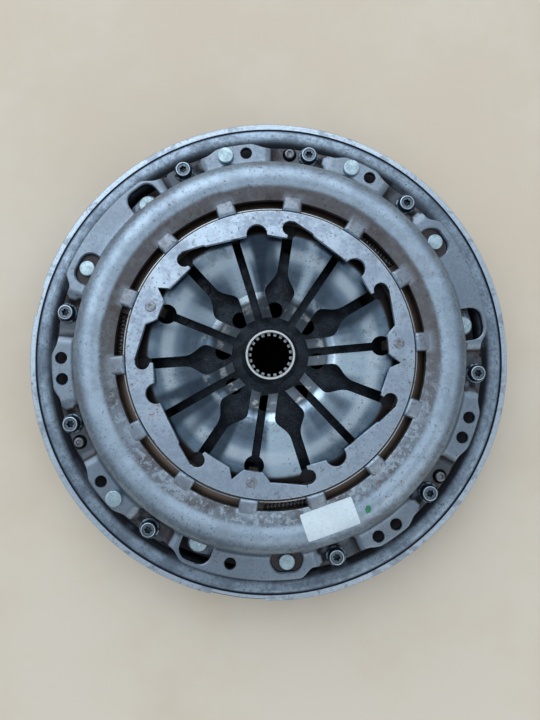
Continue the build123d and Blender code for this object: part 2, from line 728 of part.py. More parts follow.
def leaf_springs():
    start, end = leaf_ends()
    length = sqrt((end[0] - start[0]) ** 2 + (end[1] - start[1]) ** 2)
    slope = degrees(atan2(end[1] - start[1], end[0] - start[0]))
    strap = Pos((start[0] + end[0]) / 2, (start[1] + end[1]) / 2) * Rot(0, 0, slope)
    pack = Pos(0, 0, LEAF_Z) * extrude(strap * SlotCenterToCenter(length, LEAF_W), LEAVES * LEAF_T)
    waist = extrude(strap * Rectangle(length - LEAF_W * 1.6, LEAF_W * 0.7), LEAVES * LEAF_T)
    blank = extrude(strap * Rectangle(length - LEAF_W * 1.6, LEAF_W * 1.2), LEAVES * LEAF_T)
    pack -= Pos(0, 0, LEAF_Z) * (blank - waist)
    pack = bored(pack, LEAF_RIVET_D, [(LEAF_PLATE_R, LEAF_PLATE_ANGLE), (LEAF_COVER_R, LEAF_COVER_ANGLE)])
    return copies(pack, THIRDS)


# ================================================================ diaphragm
def finger_slots():
    """Every slot between the fingers, in plan: seven wide ones and seven narrow ones."""
    slots = Sketch()
    shank = SHANK_D / 2
    flare = FLARE_D / 2
    half = WIDE_SLOT_W / 2
    end = SLOT_END_PCD / 2
    turn = radians(PAIR_STEP / 2)
    for pair in range(FINGER_PAIRS):
        lugged = pair in LUG_PAIRS
        narrow_end = (LUG_SLOT_PCD if lugged else SLOT_END_PCD) / 2
        here = Rot(0, 0, PAIR_ANGLE + pair * PAIR_STEP)
        slots += here * Pos(narrow_end / 2, 0) * Rectangle(narrow_end, NARROW_SLOT_W)
        slots += here * Pos(narrow_end, 0) * Circle((LUG_SLOT_END_D if lugged else SLOT_END_D) / 2)
        between = Rot(0, 0, PAIR_ANGLE + (pair + 0.5) * PAIR_STEP)
        # the near side of the next pair of fingers, seen from the middle of the wide slot
        edge_x = shank * cos(turn) + PAIR_W / 2 * sin(turn)
        edge_y = shank * sin(turn) - PAIR_W / 2 * cos(turn)
        tip_x = PAIR_W / 2 / sin(turn)
        upper = [
            Line((tip_x, 0), (edge_x, edge_y)),
            Spline(
                (edge_x, edge_y),
                (flare, half),
                tangents=((cos(turn), sin(turn)), (1, 0)),
                tangent_scalars=FLARE_SOFTNESS,
            ),
            Line((flare, half), (end, half)),
            Line((end, half), (end, 0)),
            Line((end, 0), (tip_x, 0)),
        ]
        side = make_face(upper)
        slots += between * side
        slots += between * mirror(side, Plane.XZ)
        slots += between * Pos(end, 0) * Circle(SLOT_END_D / 2)
    return slots


def diaphragm_spring():
    low = DIAPHRAGM_Z
    top = low + DIAPHRAGM_T
    falls = (
        (BODY_FLAT_D / 2, 0),
        (SHANK_D / 2, SHANK_DROP),
        (TIP_PAD_D / 2, TIP_PAD_DROP),
        (TIP_D / 2, TIP_DROP),
    )
    over = [(DIAPHRAGM_D / 2, top)] + [(radius, top - fall) for radius, fall in falls]
    under = [(radius, low - fall) for radius, fall in reversed(falls)] + [(DIAPHRAGM_D / 2, low)]
    body = turned(*over, *under)
    return body - Pos(0, 0, low - 2 * TIP_DROP) * extrude(finger_slots(), 3 * TIP_DROP)


def sensor_spring():
    """The dished ring that holds the diaphragm up against the adjuster ring."""
    inner = SENSOR_BORE_D / 2
    outer = SENSOR_D / 2
    top = SENSOR_TOP_Z
    return turned(
        (inner, top - SENSOR_RISE - SENSOR_T),
        (outer, top - SENSOR_T),
        (outer, top),
        (inner, top - SENSOR_RISE),
    )


# ================================================================ cover
def bead_section():
    """The cover's pressed bead: a leaning wall, a round shoulder and a straight slope inwards."""
    outside = bead_path(SHOULDER_R, 0)
    inside = bead_path(SHOULDER_R - COVER_T, COVER_T)
    return make_face(outside + inside + [
        Line(outside[0] @ 0, inside[0] @ 0),
        Line(outside[-1] @ 1, inside[-1] @ 1),
    ])


def bead_path(radius, inset):
    """The wall, shoulder and slope of one side of the bead's sheet."""
    centre = (CREST_R, SHOULDER_Z)
    shoulder = CenterArc(centre, radius, BEAD_DRAFT, 90 + SLOPE_ANGLE - BEAD_DRAFT)
    foot_r = BEAD_R - inset / cos(radians(BEAD_DRAFT))
    fall = (shoulder @ 1).X - WINDOW_D / 2
    end_z = (shoulder @ 1).Y - fall * tan(radians(SLOPE_ANGLE))
    return [
        Line((foot_r, SEAT_Z), shoulder @ 0),
        shoulder,
        Line(shoulder @ 1, (WINDOW_D / 2, end_z)),
    ]


def flange_outline():
    """The flange in plan: lands, pads and seats of their own widths, with soft notches between."""
    arcs = []
    for radius, spans, margin in (
        (LAND_D / 2, LAND_SPANS, EDGE_ROUND),
        (PAD_D / 2, PAD_SPANS, EDGE_ROUND),
        (FLANGE_D / 2, SEAT_SPANS, 0),
    ):
        for start, end in in_thirds_spans(spans):
            arcs.append((start + margin, end - margin, radius))
    arcs.sort()
    edge = []
    for (start, end, radius), (next_start, _, next_radius) in zip(arcs, arcs[1:] + arcs[:1]):
        gap = (next_start - end) % 360
        edge.append(CenterArc((0, 0), radius, start, end - start))
        edge.append(
            Spline(
                polar_point(radius, end),
                polar_point(NOTCH_D / 2, end + gap / 2),
                polar_point(next_radius, next_start),
                tangents=(polar_point(1, end + 90), polar_point(1, next_start + 90)),
            )
        )
    return make_face(edge) - Circle(BEAD_R - COVER_T)


def land_ramp(angle, side):
    """The S-shaped slope at one end of a land, down to the bolt seat beside it."""
    foot = side * LAND_RAMP
    section = make_face([
        Spline((0, LAND_TOP_Z), (foot, SEAT_TOP_Z), tangents=((side, 0), (side, 0))),
        Line((foot, SEAT_TOP_Z), (foot, SEAT_Z)),
        Line((foot, SEAT_Z), (0, SEAT_Z)),
        Line((0, SEAT_Z), (0, LAND_TOP_Z)),
    ])
    return at(BEAD_R - COVER_T, angle) * extrude(Plane.YZ * section, LAND_D / 2 - BEAD_R + COVER_T)


def hollow_ramp(angle, side, inner):
    """The slope at one end of the room under a land."""
    low = SEAT_Z - 1
    corners = [(0, low), (side * (LAND_RAMP - 1), low), (0, LAND_UNDER_Z)]
    section = make_face(Polyline(*corners, close=True))
    return at(inner, angle) * extrude(Plane.YZ * section, LAND_D / 2 + 1 - inner)


def flange():
    """The bolting flange: seats on the flywheel, with lands pressed up between them."""
    plan = flange_outline()
    seats = Pos(0, 0, SEAT_Z) * extrude(plan, COVER_T)
    raised = Pos(0, 0, SEAT_Z) * extrude(plan, COVER_T + LAND_RISE)
    outer = LAND_D / 2 + 1
    lands = []
    for start, end in in_thirds_spans(LAND_SPANS + PAD_SPANS):
        lands.append(sector(BEAD_R - COVER_T, outer, start, end, SEAT_Z, LAND_TOP_Z))
        lands.append(land_ramp(start, -1))
        lands.append(land_ramp(end, 1))
    return seats + (raised & (Part() + lands))


def land_hollows():
    """The room under each land; under a wide land it goes in below the bead as well."""
    hollows = []
    for spans, inner in ((LAND_SPANS, BEAD_R - 2 * COVER_T), (PAD_SPANS, BEAD_R)):
        for start, end in in_thirds_spans(spans):
            hollows.append(sector(inner, LAND_D / 2 + 1, start, end, SEAT_Z - 1, LAND_UNDER_Z))
            hollows.append(hollow_ramp(start, -1, inner))
            hollows.append(hollow_ramp(end, 1, inner))
    return hollows


def in_thirds_spans(spans):
    """Spans of angle given for one third of the cover, repeated in all three."""
    return [(third + start, third + end) for third in THIRDS for start, end in spans]


def recess_plan(width):
    """The long pocket round a leaf spring's rivet in the cover, in plan."""
    span = 2 * LEAF_COVER_R * sin(radians(RECESS_REACH))
    return Rot(0, 0, LEAF_COVER_ANGLE) * Pos(RECESS_R, 0) * Rot(0, 0, 90) * SlotCenterToCenter(span, width)


def ramp_wedges(z_low, z_high, rising):
    """Wear-adjuster ramps: one wedge a rib, its sloping face up or down."""
    r_in = (ADJUSTER_BORE_D + ADJUSTER_D) / 4 - RAMP_W / 2
    length = 2 * (r_in + RAMP_W / 2) * sin(radians(RAMP_ANGLE / 2))
    if rising:
        corners = [(-length / 2, z_low), (length / 2, z_low), (length / 2, z_high)]
    else:
        corners = [(-length / 2, z_low), (-length / 2, z_high), (length / 2, z_high)]
    wedge = extrude(Plane.YZ * make_face(Polyline(*corners, close=True)), RAMP_W)
    return [at(r_in, angle) * wedge for angle in spaced(RIBS, RAMP_START + RAMP_ANGLE / 2)]


def cover_rib():
    """One of the ribs that carry the inner flange across the windows, lying along X."""
    start = SUPPORT_D / 2 + FACE_GAP
    length = WINDOW_D / 2 + RIB_L - start
    rib = Pos(start + length / 2, 0, SUPPORT_TOP_Z - COVER_T / 2) * Box(length, RIB_W, COVER_T)
    riser_l = INNER_FLANGE_D / 2 - start
    riser_h = SUPPORT_TOP_Z - FLANGE_UNDER_Z
    return rib + Pos(start + riser_l / 2, 0, SUPPORT_TOP_Z - riser_h / 2) * Box(riser_l, RIB_W, riser_h)


def rivet_window():
    """The hole in a wide land that the leaf spring's rivet in the pressure plate moves in."""
    inner = LEAF_PLATE_R - PLATE_RIVET_HEAD_D / 2 - RIVET_AIR
    room = RIVET_WINDOW_R - inner
    plan = RectangleRounded(room + RIVET_WINDOW_CORNER, RIVET_WINDOW_W, RIVET_WINDOW_CORNER)
    hole = Pos(-RIVET_WINDOW_CORNER / 2, 0) * plan & Rectangle(room, RIVET_WINDOW_W)
    return Pos(RIVET_WINDOW_R - room / 2, 0, SEAT_Z) * extrude(hole, LAND_TOP_Z - SEAT_Z + RIVET_HEAD_H)


def clutch_cover():
    boss = Pos(0, 0, LEAF_TOP_Z) * extrude(recess_plan(RECESS_W + COVER_T), LAND_TOP_Z - LEAF_TOP_Z)
    pocket = Pos(0, 0, LEAF_TOP_Z + COVER_T) * extrude(recess_plan(RECESS_W), CREST_Z)
    inner_flange = ring(COVER_BORE_D / 2, INNER_FLANGE_D / 2, FLANGE_UNDER_Z, FLANGE_TOP_Z)
    ramps = [Pos(0, 0, FACE_GAP) * wedge for wedge in ramp_wedges(RAMP_Z, RAMP_Z + RAMP_RISE, False)]
    ribs = [Rot(0, 0, angle) * cover_rib() for angle in spaced(RIBS, RIB_ANGLE)]
    shell = (flange() + revolve(Plane.XZ * bead_section(), Axis.Z)) - land_hollows()
    shell += [inner_flange] + ramps + ribs + coil_stops() + [Rot(0, 0, third) * boss for third in THIRDS]
    cuts = [Rot(0, 0, third) * pocket for third in THIRDS]
    cuts += [Rot(0, 0, third + LEAF_PLATE_ANGLE) * rivet_window() for third in THIRDS]
    cuts += drills(BOLT_D + 2 * HOLE_GAP, [(BOLT_R, a) for a in in_thirds(BOLT_ANGLES)])
    cuts += drills(DOWEL_D, [(BOLT_R, a) for a in in_thirds([DOWEL_ANGLE])])
    balance = in_thirds(BALANCE_ANGLES) + [EXTRA_BALANCE_ANGLE]
    cuts += drills(BALANCE_HOLE_D, [(BALANCE_PCD / 2, a) for a in balance])
    cuts += drills(LEAF_RIVET_D, [(LEAF_COVER_R, a) for a in in_thirds([LEAF_COVER_ANGLE])])
    return shell - cuts


def cover_bolts():
    flange_part = rod(BOLT_FLANGE_D, SEAT_TOP_Z, SEAT_TOP_Z + BOLT_FLANGE_H)
    head = rod(BOLT_HEAD_D, SEAT_TOP_Z, SEAT_TOP_Z + BOLT_HEAD_H)
    head = chamfer(head.edges().group_by(Axis.Z)[-1], 0.5)
    bolt = flange_part + head + rod(BOLT_D, SEAT_Z - BOLT_L, SEAT_TOP_Z)
    top = SEAT_TOP_Z + BOLT_HEAD_H
    bolt -= Pos(0, 0, top - BOLT_SOCKET_DEPTH) * extrude(socket_plan(), BOLT_SOCKET_DEPTH + 1)
    return copies(Pos(BOLT_R, 0, 0) * bolt, in_thirds(BOLT_ANGLES))


def socket_plan():
    """A six-lobed driving socket, in plan."""
    lobe = BOLT_SOCKET_D / 6
    plan = Circle(BOLT_SOCKET_D / 2 - lobe * 0.7)
    for angle in spaced(6):
        plan += Rot(0, 0, angle) * Pos(BOLT_SOCKET_D / 2 - lobe, 0) * Circle(lobe)
    return plan


def dowel_pins():
    pin = rod(DOWEL_D, SEAT_Z - DOWEL_L, SEAT_TOP_Z + DOWEL_PROUD)
    pin = chamfer(pin.edges().group_by(Axis.Z)[-1], 0.6)
    return copies(Pos(BOLT_R, 0, 0) * pin, in_thirds([DOWEL_ANGLE]))


def balance_rivets():
    one = rivet(BALANCE_HOLE_D, LAND_UNDER_Z, LAND_TOP_Z, RIVET_HEAD_D, RIVET_HEAD_H)
    return copies(Pos(BALANCE_PCD / 2, 0, 0) * one, BALANCE_RIVET_ANGLES)


def strap_cover_rivets():
    one = rivet(LEAF_RIVET_D, LEAF_Z, LEAF_TOP_Z + COVER_T, RIVET_HEAD_D - 0.4, RIVET_HEAD_H)
    return copies(Pos(LEAF_COVER_R, 0, 0) * one, in_thirds([LEAF_COVER_ANGLE]))


# ================================================================ support ring
def polar_point(radius, angle):
    return (radius * cos(radians(angle)), radius * sin(radians(angle)))


def support_opening(pair):
    """One seventh of the ring's opening, from a keyhole to the next, in plan."""
    key = KEYHOLE_ANGLE + (pair - 1) * PAIR_STEP
    lug_from = PAIR_ANGLE + pair * PAIR_STEP - LUG_HALF
    lug_to = lug_from + 2 * LUG_HALF
    scallop = key + SCALLOP_AFTER
    step = key + PAIR_STEP - STEP_BEFORE
    points = [(0, 0), polar_point(KEYHOLE_R, key), polar_point(TOOTH_R, key + TOOTH_AFTER)]
    if pair in LUG_PAIRS:
        points.append(polar_point(SCALLOP_R, lug_from - LUG_FOOT - LUG_STEP))
        points.append(polar_point(LUG_NOTCH_R, lug_from - LUG_FOOT))
        points.append(polar_point(LUG_TIP_R + LUG_ROUND_R, lug_from))
        points.append(polar_point(LUG_TIP_R, lug_from + LUG_ROUND))
        points.append(polar_point(LUG_TIP_R, lug_to - LUG_ROUND))
        points.append(polar_point(LUG_TIP_R + LUG_ROUND_R, lug_to))
        points.append(polar_point(STEP_R, lug_to + LUG_STEP))
    else:
        points.append(polar_point(SCALLOP_R, scallop - SCALLOP_HALF))
        points.append(polar_point(SCALLOP_R, scallop + SCALLOP_HALF))
        points.append(polar_point(FLAT_R, step - STEP_W))
        points.append(polar_point(STEP_R, step))
    points.append(polar_point(SUPPORT_D / 2 - KEYHOLE_WALL, key + PAIR_STEP - KEY_EDGE))
    points.append(polar_point(KEYHOLE_R, key + PAIR_STEP))
    opening = make_face(Polyline(*points, close=True))
    opening += Rot(0, 0, key) * Pos(KEYHOLE_R, 0) * Circle(KEYHOLE_D / 2)
    if pair not in LUG_PAIRS:
        opening += Rot(0, 0, scallop) * Pos(SCALLOP_R, 0) * Circle(SCALLOP_D / 2)
    return opening


def support_ring():
    plan = Circle(SUPPORT_D / 2) - Circle(TOOTH_R - 1)
    for pair in range(FINGER_PAIRS):
        plan -= support_opening(pair)
    low = FLANGE_TOP_Z + FACE_GAP
    body = Pos(0, 0, low) * extrude(plan, SUPPORT_T)
    return bored(body, LUG_RIVET_D, [(LUG_RIVET_R, a) for a in lug_angles()])


def lug_angles():
    return [PAIR_ANGLE + pair * PAIR_STEP for pair in LUG_PAIRS]


def ring_rivets():
    low = FLANGE_TOP_Z + FACE_GAP - HOOK_T
    one = rivet(LUG_RIVET_D, low, SUPPORT_TOP_Z, LUG_HEAD_D, LUG_HEAD_H, tail_h=1.0)
    return copies(Pos(LUG_RIVET_R, 0, 0) * one, lug_angles())


def spring_hooks():
    """Bent hooks that hang from the ring's lugs through the diaphragm and carry the sensor spring."""
    top = FLANGE_TOP_Z + FACE_GAP
    foot_end = COVER_BORE_D / 2 - FACE_GAP * 4
    outline = Polyline(
        (HOOK_LEG_R, HOOK_TOE_Z),
        (HOOK_LEG_R + HOOK_T + HOOK_TOE, HOOK_TOE_Z),
        (HOOK_LEG_R + HOOK_T + HOOK_TOE, HOOK_TOE_Z + HOOK_T),
        (HOOK_LEG_R + HOOK_T, HOOK_TOE_Z + HOOK_T),
        (HOOK_LEG_R + HOOK_T, top - HOOK_T),
        (foot_end, top - HOOK_T),
        (foot_end, top),
        (HOOK_LEG_R, top),
        close=True,
    )
    hook = Pos(0, HOOK_W / 2, 0) * extrude(Plane.XZ * make_face(outline), HOOK_W)
    hook = bored(hook, LUG_RIVET_D, [(LUG_RIVET_R, 0)])
    return copies(hook, lug_angles())


# ================================================================ adjuster
def coil_radius():
    """The radius of a spring's two ends: its straight middle just clears the ring."""
    return (ADJUSTER_D / 2 + COIL_D / 2 + COIL_AIR) / cos(radians(COIL_ANGLE / 2))


def coil_stops():
    """Posts under three of the cover's ribs, which the adjuster springs push on."""
    low = ADJUSTER_Z + COIL_AIR
    high = SUPPORT_TOP_Z - COVER_T / 2
    post = Pos(coil_radius(), EAR_W / 2, (low + high) / 2) * Box(COIL_D, EAR_W, high - low)
    return [Rot(0, 0, rib_angle(rib)) * post for rib in COIL_RIBS]


def rib_angle(rib):
    return RIB_ANGLE + 360 * rib / RIBS


def ear_angles():
    return [rib_angle(rib) - COIL_ANGLE for rib in COIL_RIBS]


def adjuster_ring():
    """The wear-adjuster ring: ramps that climb the cover's, and an ear for each spring."""
    body = ring(ADJUSTER_BORE_D / 2, ADJUSTER_D / 2, ADJUSTER_Z, RAMP_Z)
    body += ramp_wedges(RAMP_Z, RAMP_Z + RAMP_RISE, True)
    height = RAMP_RISE / 2 + ADJUSTER_T
    root = ADJUSTER_D / 2 - EAR_ROOT
    reach = coil_radius() + COIL_D / 2 - root
    ear = Pos(root + reach / 2, -EAR_W / 2, ADJUSTER_Z + height / 2)
    return body + [Rot(0, 0, angle) * ear * Box(reach, EAR_W, height) for angle in ear_angles()]


def adjuster_springs():
    """Small compression springs that turn the adjuster ring up its ramps."""
    radius = coil_radius()
    half = radians(COIL_ANGLE / 2)
    length = 2 * radius * sin(half) - COIL_D * tan(half) - COIL_AIR
    z = ADJUSTER_Z + COIL_D / 2 + COIL_AIR / 2
    section = Circle(COIL_D / 2) - Circle(COIL_D / 2 - COIL_WIRE)
    tube = extrude(Plane.XZ * section, length / 2, both=True)
    spring = Rot(0, 0, COIL_ANGLE / 2) * Pos(radius * cos(half), 0, z) * tube
    return copies(spring, ear_angles())


NODES = (
    primary_flywheel,
    primary_cover,
    arc_springs,
    spring_shells,
    pilot_bush,
    thrust_washer,
    secondary_flywheel,
    drive_plate,
    drive_plate_rivets,
    disc_hub,
    disc_web,
    cushion_segments,
    segment_rivets,
    facing_engine_side,
    facing_gearbox_side,
    facing_rivets,
    pressure_plate,
    strap_plate_rivets,
    leaf_springs,
    diaphragm_spring,
    sensor_spring,
    clutch_cover,
    cover_bolts,
    dowel_pins,
    balance_rivets,
    strap_cover_rivets,
    support_ring,
    ring_rivets,
    spring_hooks,
    adjuster_ring,
    adjuster_springs,
)

os.makedirs("parts", exist_ok=True)
for make in NODES:
    export_step(make(), f"parts/{make.__name__}.step")
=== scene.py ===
"""The looks of a self-adjusting clutch that is bolted to its dual-mass flywheel.

Every size below is in millimetres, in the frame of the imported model: Z runs along the shaft
towards the gearbox and the clutch rests on Z = 0. MM turns them into Blender's metres.
"""
import math
import random

import bmesh
import bpy
from mathutils import Matrix, Vector
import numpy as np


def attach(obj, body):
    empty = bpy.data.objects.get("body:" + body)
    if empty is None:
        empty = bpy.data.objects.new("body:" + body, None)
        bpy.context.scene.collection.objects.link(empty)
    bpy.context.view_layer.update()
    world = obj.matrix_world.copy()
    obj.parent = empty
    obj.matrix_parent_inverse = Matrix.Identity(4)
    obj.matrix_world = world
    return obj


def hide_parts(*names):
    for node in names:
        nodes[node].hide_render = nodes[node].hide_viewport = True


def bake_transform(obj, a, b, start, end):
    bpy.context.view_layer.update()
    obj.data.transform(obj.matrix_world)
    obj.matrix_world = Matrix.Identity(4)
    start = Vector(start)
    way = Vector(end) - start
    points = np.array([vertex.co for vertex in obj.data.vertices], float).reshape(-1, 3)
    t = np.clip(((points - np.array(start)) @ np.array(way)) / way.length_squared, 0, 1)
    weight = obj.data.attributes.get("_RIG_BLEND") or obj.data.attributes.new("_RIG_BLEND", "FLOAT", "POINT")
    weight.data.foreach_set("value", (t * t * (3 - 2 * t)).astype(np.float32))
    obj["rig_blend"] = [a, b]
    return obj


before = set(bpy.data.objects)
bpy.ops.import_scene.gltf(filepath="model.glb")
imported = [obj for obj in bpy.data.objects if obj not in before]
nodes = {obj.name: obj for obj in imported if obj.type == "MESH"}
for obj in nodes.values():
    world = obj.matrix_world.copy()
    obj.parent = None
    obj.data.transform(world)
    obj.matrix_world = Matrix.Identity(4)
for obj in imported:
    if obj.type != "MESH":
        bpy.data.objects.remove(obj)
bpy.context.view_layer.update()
MM = 0.001

# -------- first mass of the flywheel
# A thick steel dish, turned on its lip and on its back, mottled by heat and by handling. It
# bolts to the crankshaft and everything else sits in it.
LIP_TOP = 41.0
LIP_INNER_R = 146.3


class Socket:
    """A socket in a material's nodes, so that shader maths reads as plain arithmetic."""

    def __init__(self, output):
        self.output = output

    def node(self, kind, settings, inputs, out=0):
        """Add a node: its settings first, then a value or a link for each input named."""
        tree = self.output.id_data
        made = tree.nodes.new("ShaderNode" + kind)
        for name, value in settings.items():
            setattr(made, name, value)
        for key, value in inputs.items():
            if isinstance(value, Socket):
                tree.links.new(value.output, made.inputs[key])
            else:
                made.inputs[key].default_value = value
        return Socket(made.outputs[out])

    def maths(self, operation, *others):
        return self.node("Math", {"operation": operation}, dict(enumerate((self, *others))))

    def __add__(self, other):
        return self.maths("ADD", other)

    def __sub__(self, other):
        return self.maths("SUBTRACT", other)

    def __rsub__(self, other):
        return self.maths("MULTIPLY", -1.0).maths("ADD", other)

    def __mul__(self, other):
        return self.maths("MULTIPLY", other)

    def __truediv__(self, other):
        return self.maths("DIVIDE", other)

    __radd__ = __add__
    __rmul__ = __mul__


def shown(red, green, blue):
    """A colour from the levels it shows on a screen, 0 to 255."""
    levels = [level / 255 for level in (red, green, blue)]
    return (*[v / 12.92 if v <= 0.04045 else ((v + 0.055) / 1.055) ** 2.4 for v in levels], 1)


def tint(amount, first, second):
    """The first colour, turned into the second one by an amount from 0 to 1."""
    return amount.node("Mix", {"data_type": "RGBA"}, {0: amount, 6: first, 7: second}, 2)


def step(value, low, high):
    """0 at low and 1 at high, with a soft slope between; high may be the smaller."""
    inputs = {"Value": value, "From Min": low, "From Max": high}
    return value.node("MapRange", {"interpolation_type": "SMOOTHSTEP"}, inputs)


def between(value, outside, low, high, beyond):
    """1 from low to high, falling off softly to 0 at outside and beyond."""
    return step(value, outside, low) * step(value, beyond, high)


def clouds(place, size, detail=3, roughness=0.6):
    """Cloudy noise round 0.5, in lumps about size millimetres across."""
    inputs = {"Vector": place, "Scale": 1 / (size * MM), "Detail": detail, "Roughness": roughness}
    return place.node("TexNoise", {}, inputs)


def radius_of(place):
    """How far a point is from the axis, in millimetres."""
    flat = place.node("VectorMath", {"operation": "MULTIPLY"}, {0: place, 1: (1000, 1000, 0)})
    return flat.node("VectorMath", {"operation": "LENGTH"}, {0: flat}, 1)


def along(place, axis):
    """A point's place along X, Y or Z, which are 0, 1 and 2, in metres."""
    return place.node("SeparateXYZ", {}, {0: place}, axis)


def height_of(place):
    """How high a point is, in millimetres."""
    return along(place, 2) * 1000


def angle_of(place):
    """The angle of a point round the axis, in degrees from X."""
    return along(place, 1).maths("ARCTAN2", along(place, 0)) * math.degrees(1)


def round_streaks(place, width, length=14):
    """The marks of a lathe or a grinding wheel: thin streaks that run round the axis."""
    x = radius_of(place) / width
    y = angle_of(place) / length
    z = height_of(place) / width
    vector = x.node("CombineXYZ", {}, {0: x, 1: y, 2: z})
    inputs = {"Vector": vector, "Scale": 1.0, "Detail": 2, "Roughness": 0.6}
    return vector.node("TexNoise", {}, inputs)


DIRT = shown(40, 42, 46)
RUST = shown(112, 76, 58)


def metal(name, dark, light, patch=14, gloss=(0.34, 0.52), metallic=0.9, specks=0.5, rust=0.3,
          marks=None, streaks=0.0, dents=0.25, brushed=0.0):
    """A worn metal: two tones in patches, with marks of its own, dark specks and rust specks."""
    material = bpy.data.materials.new(name)
    material.use_nodes = True
    tree = material.node_tree
    shader = tree.nodes["Principled BSDF"]
    place = Socket(tree.nodes.new("ShaderNodeTexCoord").outputs["Object"])
    broad = clouds(place, patch, 4)
    fine = clouds(place, patch / 8, 4, 0.7)
    worn = step(broad * 0.55 + fine * 0.45, 0.40, 0.60)
    height = fine
    if streaks:
        lines = round_streaks(place, 0.35)
        worn = worn * (1 - streaks) + step(lines, 0.35, 0.65) * streaks
        height = fine + lines * streaks
    colour = tint(worn, dark, light)
    roughness = gloss[1] - worn * (gloss[1] - gloss[0])
    for amount, tone, level in marks(place) if marks else ():
        colour = tint(amount, colour, tone)
        roughness = roughness + (level - roughness) * amount
    dirt = step(clouds(place, 1.6, 2), 0.60, 0.67) * step(broad, 0.40, 0.56) * specks
    rusty = step(clouds(place, 3.1, 4, 0.75), 0.60, 0.66)
    rusty = rusty * step(clouds(place, 38, 2), 0.44, 0.60) * rust
    colour = tint(dirt, colour, DIRT)
    colour = tint(rusty, colour, RUST)
    roughness = roughness + rusty * 0.3
    bump = {"Height": height, "Strength": dents, "Distance": 0.25 * MM}
    finish = {
        "Base Color": colour,
        "Roughness": roughness,
        "Metallic": metallic - rusty * 0.8,
        "Normal": height.node("Bump", {}, bump),
    }
    for key, socket in finish.items():
        tree.links.new(socket.output, shader.inputs[key])
    shader.inputs["Anisotropic"].default_value = brushed
    return material


def dress(material, *names):
    """Give nodes that keep their solids a material."""
    for name in names:
        nodes[name].data.materials.clear()
        nodes[name].data.materials.append(material)


def lip_marks(place):
    """Dull rolled wall outside, dark groove inside the lip, and scuffs along the lip's top."""
    radius = radius_of(place)
    height = height_of(place)
    scuffs = step(clouds(place, 9, 4, 0.7), 0.50, 0.62)
    return (
        (step(height, LIP_TOP - 1.0, LIP_TOP - 2.5), shown(104, 110, 118), 0.5),
        (scuffs * 0.55, shown(92, 104, 118), 0.5),
        (step(radius, LIP_INNER_R + 0.5, LIP_INNER_R), shown(30, 38, 52), 0.5),
    )


dress(
    metal("turned_steel", shown(150, 166, 180), shown(184, 202, 218), 9, (0.3, 0.46),
          specks=0.35, rust=0.2, marks=lip_marks, streaks=0.45, brushed=0.3),
    "primary_flywheel",
)

# -------- cover of the spring channel
# A pressed steel ring, welded in under the lip: it shows as a smooth convex band between the
# lip and the clutch, and keeps the grease of the arc springs in.
BAND_OUTER_R = 146.2
BAND_INNER_R = 138.0
BAND_WALL_R = 132.5
BAND_TOP = 41.2
BAND_CROWN_R = 12.3  # of its round top, in section
BAND_SHOULDER = (BAND_INNER_R - 1.6, 35.4)  # the centre of the round inside the crown
BAND_SHOULDER_R = 4.9
BAND_SHEET = 3
CHANNEL_SHELF = 37.5
CHANNEL_ROOF = 27.6
CHANNEL_ROOF_UNDER = 24.6
CHANNEL_BORE_R = 95.0


def arc(centre, radius, start, end, count):
    """Points on an arc of an outline, its ends included; angles in degrees."""
    points = []
    for index in range(count + 1):
        angle = math.radians(start + (end - start) * index / count)
        points.append((centre[0] + radius * math.cos(angle), centre[1] + radius * math.sin(angle)))
    return points


def corners_in(geometry):
    """The vertices among the items that an operator gives back."""
    return [item for item in geometry if isinstance(item, bmesh.types.BMVert)]


SECTORS = 8  # a full turn is spun as one sector, and that is copied round


def spin(outline, steps=360, closed=True):
    """A turned shape: an outline of (radius, height) points that is carried round the axis."""
    shape = bmesh.new()
    points = [shape.verts.new((radius * MM, 0, height * MM)) for radius, height in outline]
    ends = points[1:] + points[:1] if closed else points[1:]
    edges = [shape.edges.new(pair) for pair in zip(points, ends)]
    bmesh.ops.spin(shape, geom=points + edges, cent=(0, 0, 0), axis=(0, 0, 1),
                   angle=math.tau / SECTORS, steps=steps // SECTORS)
    sector = shape.verts[:] + shape.edges[:] + shape.faces[:]
    for index in range(1, SECTORS):
        copied = bmesh.ops.duplicate(shape, geom=sector)["geom"]
        turn = Matrix.Rotation(math.tau * index / SECTORS, 3, "Z")
        bmesh.ops.rotate(shape, cent=(0, 0, 0), matrix=turn, verts=corners_in(copied))
    bmesh.ops.remove_doubles(shape, verts=shape.verts[:], dist=1e-6)
    bmesh.ops.recalc_face_normals(shape, faces=shape.faces[:])
    return shape


def as_object(shape, name="passing"):
    """An object in the scene with a shape as its mesh."""
    mesh = bpy.data.meshes.new(name)
    shape.to_mesh(mesh)
    shape.free()
    made = bpy.data.objects.new(name, mesh)
    bpy.context.scene.collection.objects.link(made)
    return made


def piece(name, shape, body, slot, material, *replaced, crease=35):
    """Finish a shape as a piece that rides on a body, if one is given, in place of some nodes."""
    made = as_object(shape, name)
    made.data.shade_smooth()
    made.data.set_sharp_from_angle(angle=math.radians(crease))
    made.data.materials.append(material)
    if body:
        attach(made, body)
        made.modifiers.new("even_shading", "WEIGHTED_NORMAL").keep_sharp = True
    if replaced:
        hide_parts(*replaced)
    return made


def band_marks(place):
    """Light along the crown, with painted shade that darkens it down into the gap by the clutch."""
    radius = radius_of(place)
    return (
        # painted shade: the band goes nearly black down in the gap by the clutch
        (step(radius, 141.0, 136.5), shown(22, 27, 34), 0.6),
        (step(radius, 144.4, 145.8), shown(40, 52, 68), 0.5),
        (step(clouds(place, 26, 3), 0.52, 0.66) * 0.5, shown(70, 82, 96), 0.5),
    )


